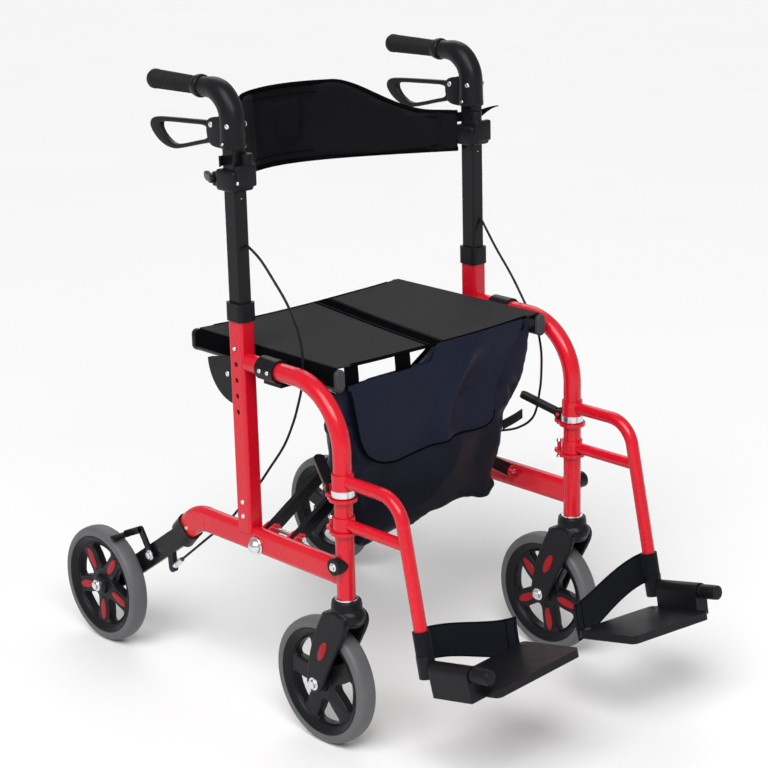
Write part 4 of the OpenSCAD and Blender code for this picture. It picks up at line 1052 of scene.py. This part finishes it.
class CHAIR_OT_handles(Piece, bpy.types.Operator):
    """Models the handle elbows, ribbed grips, brake levers and backrest clamps"""
    bl_idname = "chair.handles"
    bl_label = "Handles"

    elbow, neck, pivot, clamp_z, button_z = 45, 66, (-40, -53), 843.5, 589.3
    # Outlines of the brake lever and of its cheeks: ahead of the upright, above the grip
    lever_out = [(-34, -48.5), (-100, -52), (-172, -56), (-192, -59), (-199, -70), (-190, -84), (-168, -98),
                 (-142, -102.5), (-118, -98), (-80, -88.5), (-50, -82), (-34, -78)]
    lever_in = [(-52, -56.5), (-100, -59), (-160, -62), (-172, -65), (-171, -75), (-158, -87), (-139, -95),
                (-118, -91.5), (-80, -82), (-54, -76)]
    cheek = [(-6, -38), (-26, -40), (-43, -43), (-51, -51), (-51, -68), (-46, -82), (-32, -86), (-6, -86)]

    def build(self, scene):
        sizes = scene.chair_handles
        for name, sign in SIDES.items():
            low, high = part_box(f"{name}_grip")
            top = 500 * (low.z + high.z)
            side = sign * SIDE_MM
            self.grip(name, side, top, 1000 * (high.x - low.x), 1000 * (high.x - UPRIGHT_X), sizes)
            self.housing(name, side, top)
            loops = [rounded(self.lever_out, 2), rounded(self.lever_in, 2)]
            lever = plate(f"{name}_lever_skin", loops, 10, 2.6)
            finished(moved(lever, upright_at(0, side, top)), f"{name}_lever", "black_plastic")
            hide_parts(f"{name}_brake_lever")
            self.clamp(name, side, sign, self.clamp_z)
            place = at(0, side + sign * 15.2, self.button_z)
            button = stud(f"{name}_button_head", place, (0, sign, 0), 3.3, 2.4)
            finished(button, f"{name}_button", "bright_steel")

    def grip(self, name, side, top, long, front, sizes):
        radius, pitch = 1000 * sizes.grip_radius, 1000 * sizes.rib_pitch
        outline = [(11.2, 0), (radius - 0.6, 0), (radius - 0.4, 3), (radius - 1.2, 5.5)]
        run = 7.0
        while run < long - 14:
            swell = radius - 1.6 + 1.5 * run / long
            outline += [(swell - 1.4, run), (swell - 1.4, run + 0.25 * pitch),
                        (swell - 0.3, run + 0.4 * pitch), (swell, run + 0.62 * pitch),
                        (swell - 0.3, run + 0.85 * pitch)]
            run += pitch
        outline += [(radius, long - 11), (radius, long - 5), (radius - 1.8, long - 1.6), (radius - 5, long),
                    (0, long), (0, long - 6), (11.2, long - 6)]
        grip = moved(lathe(f"{name}_grip_skin", outline), facing(at(front, side, top), (-1, 0, 0)))
        finished(grip, f"{name}_post", "grip_rubber")
        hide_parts(f"{name}_grip")

    def housing(self, name, side, top):
        """The elbow sleeve with its ring, and the cheeks that hold the lever's pin."""
        bend = self.elbow
        spine = [(mix(-self.neck, -bend, i / 6), top) for i in range(6)]
        spine += [(-bend + bend * math.sin(a), top - bend + bend * math.cos(a))
                  for a in (math.pi / 2 * i / 20 for i in range(21))]
        spine += [(0, top - mix(bend, 84, i / 8)) for i in range(1, 9)]
        last = len(spine) - 1
        halves = []
        for i in range(last + 1):
            t = i / last
            swell, foot = ease(t * 2.4), ease(t * 2 - 1)
            halves.append((mix(14.6, 18.8, swell) + 1.6 * foot, mix(14.6, 18.0, swell) + 0.6 * foot))
        halves[last - 1] = (21.0, 19.2)
        sleeve = sweep(f"{name}_handle_elbow", side, spine, halves)
        modify(sleeve, "BEVEL", width=0.0012, segments=2, limit_method="ANGLE")
        ring = [(12, 0), (15.6, 0), (17.2, 1.6), (17.5, 5), (16.9, 9), (15.8, 12.6), (12, 13)]
        collar = moved(lathe("collar", ring), facing(at(-self.neck, side, top), (-1, 0, 0)))
        cheeks = [moved(plate("cheek", [rounded(self.cheek, 2)], 4.4, 1.3),
                        upright_at(0, side + face * 7.5, top)) for face in (-1, 1)]
        skin = joined(f"{name}_handle_skin", [sleeve, collar] + cheeks)
        finished(skin, f"{name}_post", "black_plastic")
        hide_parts(f"{name}_handle_housing")
        heads = ((8, 16.8, -50, 4.2, 2.2), (self.pivot[0], 9.4, self.pivot[1], 4.4, 2),
                 (-2, 18.4, -77, 2.6, 1.4))
        screws = [stud("screw", at(x, side + face * out, top + z), (0, face, 0), radius, tall)
                  for face in (-1, 1) for x, out, z, radius, tall in heads]
        finished(joined(f"{name}_handle_screws", screws), f"{name}_post", "bright_steel")

    def clamp(self, name, side, sign, z):
        """The block that holds the backrest on its post, with a knob and a wing screw."""
        parts = [moved(block("body", (44, 40, 32), 5), shift(0, side, z + 1)),
                 moved(block("cover", (11, 33, 33), 3), shift(25, side - sign * 1.5, z + 9)),
                 moved(block("lug", (18, 12, 22), 3), shift(-26, side + sign * 10, z))]
        knob = [(0, -4), (7, -4), (7, 4), (8.6, 5), (8.8, 18), (8, 20.5), (5, 21.5), (0, 21.5)]
        parts.append(moved(lathe("knob", knob, 32), shift(20, side - sign * 9, z + 20)))
        stem = [at(-20, side + sign * 10, z), at(-44, side + sign * 10, z)]
        parts.append(rod("stem", stem, 0.0045, 16))
        wing = [(-24, -5), (-8, -8), (0, -6), (8, -8), (24, -5)]
        wing = rounded(wing + [(-x, -y) for x, y in wing], 2)
        parts.append(moved(plate("wing", [wing], 7, 2.4), shift(-48, side + sign * 10, z)
                           @ Matrix.Rotation(math.radians(sign * 25), 4, "Z") @ STAND))
        skin = joined(f"{name}_clamp_skin", parts)
        finished(skin, f"{name}_post", "black_plastic")
        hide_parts(f"{name}_backrest_clamp")
        rivets = [stud("rivet", at(25, side + sign * 14.8, z), (0, sign, 0), 3.2, 1.8),
                  stud("rivet", at(12.3, side, z - 26), (1, 0, 0), 3, 1.6)]
        finished(joined(f"{name}_clamp_rivets", rivets), f"{name}_post", "bright_steel")


class CHAIR_OT_brakes(Piece, bpy.types.Operator):
    """Models the cable adjusters, springs, pivots and rivets of the rear brackets"""
    bl_idname = "chair.brakes"
    bl_label = "Rear brakes"

    tip, ear, pivot, elbow, axle = (-202, 188), (-228.5, 165.9), (-278, 177.1), (-303, 215), (-392, 100)
    bar_y, bar_wide, bar_thick, pad_angle, pad_r = 237.3, 12, 5.5, 64, 103
    plane_y, spring_ends = 229, ((-228, 172), (-268, 186))

    def bar(self, name, sign):
        """The bent flat brake bar, whose end lies across the tyre."""
        turn = math.radians(self.pad_angle)
        radial = Vector((math.cos(turn), math.sin(turn)))
        end = Vector(self.axle) + radial * (self.pad_r + 4.5)
        parts = []
        for a, b in ((Vector(self.pivot), Vector(self.elbow)), (Vector(self.elbow), end)):
            run = b - a
            strip = plate("strip", [stadium(run.length + self.bar_wide, self.bar_wide)], self.bar_thick, 1)
            tilt = Matrix.Rotation(math.atan2(run.y, run.x), 4, "Z")
            middle = (a + b) / 2
            parts.append(moved(strip, upright_at(middle.x, sign * self.bar_y, middle.y) @ tilt))
        pad_y = sign * (SIDE_MM + 8 - 2.5)
        pad = block("pad", (11, 36, 5), 1.6)
        middle = Vector(self.axle) + radial * (self.pad_r + 2.6)
        parts.append(moved(pad, shift(middle.x, pad_y, middle.y)
                           @ Matrix.Rotation(math.pi / 2 - turn, 4, "Y")))
        skin = joined(f"{name}_brake_bar", parts)
        finished(skin, f"{name}_shoe", "black_metal")
        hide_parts(f"{name}_brake_shoe")

    def build(self, scene):
        for name, sign in SIDES.items():
            body = f"{name}_frame"
            plane = sign * self.plane_y
            ear = at(self.ear[0], plane, self.ear[1])
            tip = at(self.tip[0], plane, self.tip[1])
            along = (tip - ear).normalized()
            barrel = [(0, 6), (4.6, 6), (4.6, 12), (3.7, 13), (3.7, 15), (4.4, 16)]
            for i in range(5):
                barrel += [(4.4, 17 + 3 * i), (3.8, 18 + 3 * i), (4.4, 19 + 3 * i)]
            barrel += [(3.2, 32.5), (2.3, 34.2), (0, 34.2)]
            adjuster = moved(lathe(f"{name}_adjuster", barrel, 32), facing(ear, along))
            finished(adjuster, body, "bright_steel")
            start, end = (at(x, plane, z) for x, z in self.spring_ends)
            axis = end - start
            side = axis.cross(Vector((0, 1, 0))).normalized()
            other = axis.cross(side).normalized()
            coils = []
            for i in range(241):
                turn = 2 * math.pi * i / 20
                off = math.cos(turn) * side + math.sin(turn) * other
                coils.append(start + axis * (i / 240) + 0.0036 * off - Vector((0, sign * 0.0105, 0)))
            spring = rod(f"{name}_brake_spring", coils, 0.0007, 8)
            finished(spring, body, "bright_steel", angle=60)
            posts = [stud("post", at(x, sign * 225, z), (0, -sign, 0), 3.4, 9) for x, z in self.spring_ends]
            finished(joined(f"{name}_spring_posts", posts), body, "bright_steel")
            self.bar(name, sign)
            pin = at(self.pivot[0], sign * 240.4, self.pivot[1])
            head = bolt(f"{name}_shoe_bolt", pin, (0, sign, 0), 6.5, 4)
            finished(head, f"{name}_shoe", "bright_steel")
            rivet = stud(f"{name}_tail_rivet", at(-152, sign * 255, 262), (0, sign, 0), 4, 2.2)
            finished(rivet, body, "brass", "bright_steel")
            cap = bolt(f"{name}_axle_cap", at(self.axle[0], sign * 273.2, self.axle[1]), (0, sign, 0), 7, 4)
            finished(cap, body, "bright_steel")


class CHAIR_OT_trim(Piece, bpy.types.Operator):
    """Models the seat rail caps, bolts and rivets of the frame"""
    bl_idname = "chair.trim"
    bl_label = "Frame trim"

    # Rail ends: name, long and wide, thick, edge, ahead of the uprights, look
    rail_ends = (("cap", (35, 18.4), 9, 3.8, 182.2, "grey_plastic"),
                 ("plug", (34.6, 17.8), 14, 4.5, -154, "black_plastic"))
    rail_z = 565.3
    # Rivets: ahead, outboard of the side frame's middle, height, radius, height of the head
    rivets = ((-34, 4, 541, 4.5, 2.4), (0, 13.5, 322, 4, 2), (0, 13.5, 345, 4, 2), (60, 18, 567.3, 3.6, 2),
              (78, 18, 567.3, 3.6, 2))

    def build(self, scene):
        for name, sign in SIDES.items():
            body = f"{name}_frame"
            arm = "arm_a" if sign > 0 else "arm_b"
            ahead = Matrix.Rotation(math.pi / 2, 4, "Y")
            for what, size, thick, edge, x, look in self.rail_ends:
                end = plate(f"{name}_rail_{what}", [stadium(*size)], thick, edge)
                finished(moved(end, shift(x, sign * RAIL_Y, self.rail_z) @ ahead), arm, look, "black_plastic")
            heads = [stud("rivet", at(x, sign * (SIDE_MM + y), z), (0, sign, 0), radius, tall)
                     for x, y, z, radius, tall in self.rivets]
            finished(joined(f"{name}_frame_rivets", heads), body, "bright_steel")
            head = bolt(f"{name}_bumper_bolt", at(221, sign * (SIDE_MM + 23.8), 302.3), (0, sign, 0), 5, 3)
            finished(head, body, "bright_steel")
            ring = lathe(f"{name}_dome_ring", [(11.5, 0), (14.8, 0), (15, 1.5), (13.6, 2.8), (11.5, 2.8)], 40)
            place = facing(at(26, sign * (SIDE_MM + 11), 279.3), (0, sign, 0))
            finished(moved(ring, place), body, "bright_steel")


class CHAIR_OT_footrests(Piece, bpy.types.Operator):
    """Models the heel straps and the small parts of the footrests"""
    bl_idname = "chair.footrests"
    bl_label = "Footrests"

    spindle = {"right": (391.87, 188.3), "left": (395.61, 170.7)}
    tilt, roll = math.radians(12), math.radians(3.5)
    strap_r, strap_low, strap_high = 11.6, 8, 56
    # Share of the strap's run that is left when the plate is up
    gathered = 0.2

    def place(self, name, x, y, z):
        """A point in the footrest's own frame: x ahead along its spindle, y outboard of it, z up its tube."""
        ahead, up = self.spindle[name]
        cos, sin = math.cos(self.tilt), math.sin(self.tilt)
        return at(ahead + x * cos - z * sin, SIDES[name] * (SIDE_MM + y), up + x * sin + z * cos)

    def strap_point(self, name, u, v):
        y = -183 * (1 - (1 - u) ** 1.15)
        bow = 96 * 0.24 * u * (1 - u) * 1.15
        x = -self.strap_r * (1 - u) ** 2 - bow + 3.6 * u * u - 2 * math.sin(math.pi * v) * u
        low = mix(self.strap_low, -33, ease(u * 1.05))
        high = mix(self.strap_high, 24, ease(u * 1.05))
        return self.place(name, x, y, mix(low, high, v))

    def build(self, scene):
        for name, sign in SIDES.items():
            body = f"{name}_hanger"
            band = patch(f"{name}_strap_band", 60, 16, lambda u, v: self.strap_point(name, u, v))
            thicken(band, 0.0024)

            def loop_point(u, v):
                x, y = (self.strap_r * turn(2 * math.pi * u) for turn in (math.cos, math.sin))
                return self.place(name, x, y, mix(self.strap_low, self.strap_high, v))

            loop = thicken(patch(f"{name}_strap_loop", 40, 8, loop_point), 0.0024)
            lines = [[self.strap_point(name, i / 60, v) for i in range(61)] for v in (0.03, 0.97)]
            lines += [[self.strap_point(name, u, i / 16) for i in range(17)] for u in (0.965, 0.86)]
            hem = joined(f"{name}_strap_hem", [rod("hem", line, 0.0016, 8) for line in lines])
            for obj, look in ((band, "webbing"), (loop, "webbing"), (hem, "binding")):
                finished(obj, body, look, "webbing", 60)
            for obj in (band, hem):
                self.place(name, 0, 0, 32)
                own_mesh(obj)
            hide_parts(f"{name}_heel_strap")
            long = path_length([self.strap_point(name, i / 60, 0.5) for i in range(61)])
            cos, sin = math.cos(self.tilt), math.sin(self.tilt)
            knob = [(0, 0), (10, 0), (11.2, 1.5)]
            for i in range(6):
                knob += [(11.4, 4 + 4 * i), (10.4, 5.4 + 4 * i), (10.4, 6.4 + 4 * i), (11.4, 7.6 + 4 * i)]
            knob += [(10.6, 31), (7.5, 33.6), (0, 33.8)]
            tip = facing(self.place(name, 96.6, 0, 0), (cos, 0, sin))
            cap = moved(lathe(f"{name}_foot_knob", knob, 40), tip)
            finished(cap, body, "black_plastic")
            ring = lathe(f"{name}_clamp_band", [(16.7, -5), (17.4, -5), (17.6, 0), (17.4, 5), (16.7, 5)], 48)
            finished(moved(ring, shift(221, sign * SIDE_MM, 412.5)), body, "bright_steel")
            pins = [stud("pin", at(193, sign * SIDE_MM, z), (0, 0, 1), 5, tall)
                    for z, tall in ((341, 3), (367.4, 4), (397, 3))]
            finished(joined(f"{name}_clamp_pins", pins), f"{name}_clamp", "bright_steel")
            holes = []
            for x, y in ((17, -176), (17, -30)):
                ring = lathe("eyelet", [(2.6, -0.5), (5.2, -0.5), (5.2, 0.7), (3.2, 0.9), (2.6, 0.5)], 28)
                z = -26 * math.cos(self.roll) - y * math.sin(self.roll)
                up = Vector((-sin, -sign * math.sin(self.roll), cos))
                holes.append(moved(ring, facing(self.place(name, x, y, z), up)))
            finished(joined(f"{name}_plate_eyelets", holes), f"{name}_plate", "grey_plastic", "black_plastic")


class CHAIR_OT_stage(Piece, bpy.types.Operator):
    """Sets the floor and the studio light"""
    bl_idname = "chair.stage"
    bl_label = "Stage"

    def build(self, scene):
        only(None)
        bpy.ops.mesh.primitive_plane_add(size=40)
        floor = named("floor")
        floor.data.materials.append(LOOKS["floor"])
        world = bpy.data.worlds.new("studio")
        world.use_nodes = True
        inputs = world.node_tree.nodes["Background"].inputs
        inputs["Color"].default_value = (1, 1, 1, 1)
        inputs["Strength"].default_value = 0.42
        scene.world = world
        scene.view_settings.view_transform = "Standard"
        self.lamp(scene, "key", "SUN", (1.2, -2.4, 3.0), energy=2.3, angle=math.radians(40))
        self.lamp(scene, "rim", "SUN", (-2.2, 1.8, 2.4), energy=0.6, angle=math.radians(40))
        self.lamp(scene, "softbox", "AREA", (1.9, -1.2, 2.3), (1.9, -1.2, 1.8), energy=26, size=0.9)

    def lamp(self, scene, name, kind, place, back=None, **settings):
        """A lamp that shines away from the direction back, by default the one it lies in."""
        data = bpy.data.lights.new(name, kind)
        for key, value in settings.items():
            setattr(data, key, value)
        lamp = bpy.data.objects.new(name, data)
        scene.collection.objects.link(lamp)
        lamp.matrix_world = facing(place, back or place)


class CHAIR_PT_sidebar(bpy.types.Panel):
    """Lists the pieces of the chair"""
    bl_idname = "CHAIR_PT_sidebar"
    bl_label = "Rollator transport chair"
    bl_space_type = "VIEW_3D"
    bl_region_type = "UI"
    bl_category = "Chair"

    def draw(self, context):
        for group in GROUPS:
            box = self.layout.box()
            sizes = getattr(context.scene, group)
            for key in GROUPS[group].__annotations__:
                box.prop(sizes, key)
        for operator in OPERATORS:
            self.layout.operator(operator.bl_idname)


GROUPS = {"chair_wheels": ChairWheels, "chair_cloth": ChairCloth, "chair_handles": ChairHandles,
          "chair_view": ChairView}
OPERATORS = (CHAIR_OT_camera, CHAIR_OT_looks, CHAIR_OT_cables, CHAIR_OT_wheels, CHAIR_OT_forks,
             CHAIR_OT_seat, CHAIR_OT_bag, CHAIR_OT_backrest, CHAIR_OT_handles, CHAIR_OT_brakes,
             CHAIR_OT_trim, CHAIR_OT_footrests, CHAIR_OT_stage)


def register():
    for name, group in GROUPS.items():
        bpy.utils.register_class(group)
        setattr(bpy.types.Scene, name, bpy.props.PointerProperty(type=group))
    for item in (*OPERATORS, CHAIR_PT_sidebar):
        bpy.utils.register_class(item)


def unregister():
    for item in reversed((*OPERATORS, CHAIR_PT_sidebar)):
        bpy.utils.unregister_class(item)
    for name, group in GROUPS.items():
        delattr(bpy.types.Scene, name)
        bpy.utils.unregister_class(group)


def main():
    register()
    for operator in OPERATORS:
        family, action = operator.bl_idname.split(".")
        getattr(getattr(bpy.ops, family), action)()


if __name__ == "__main__":
    main()
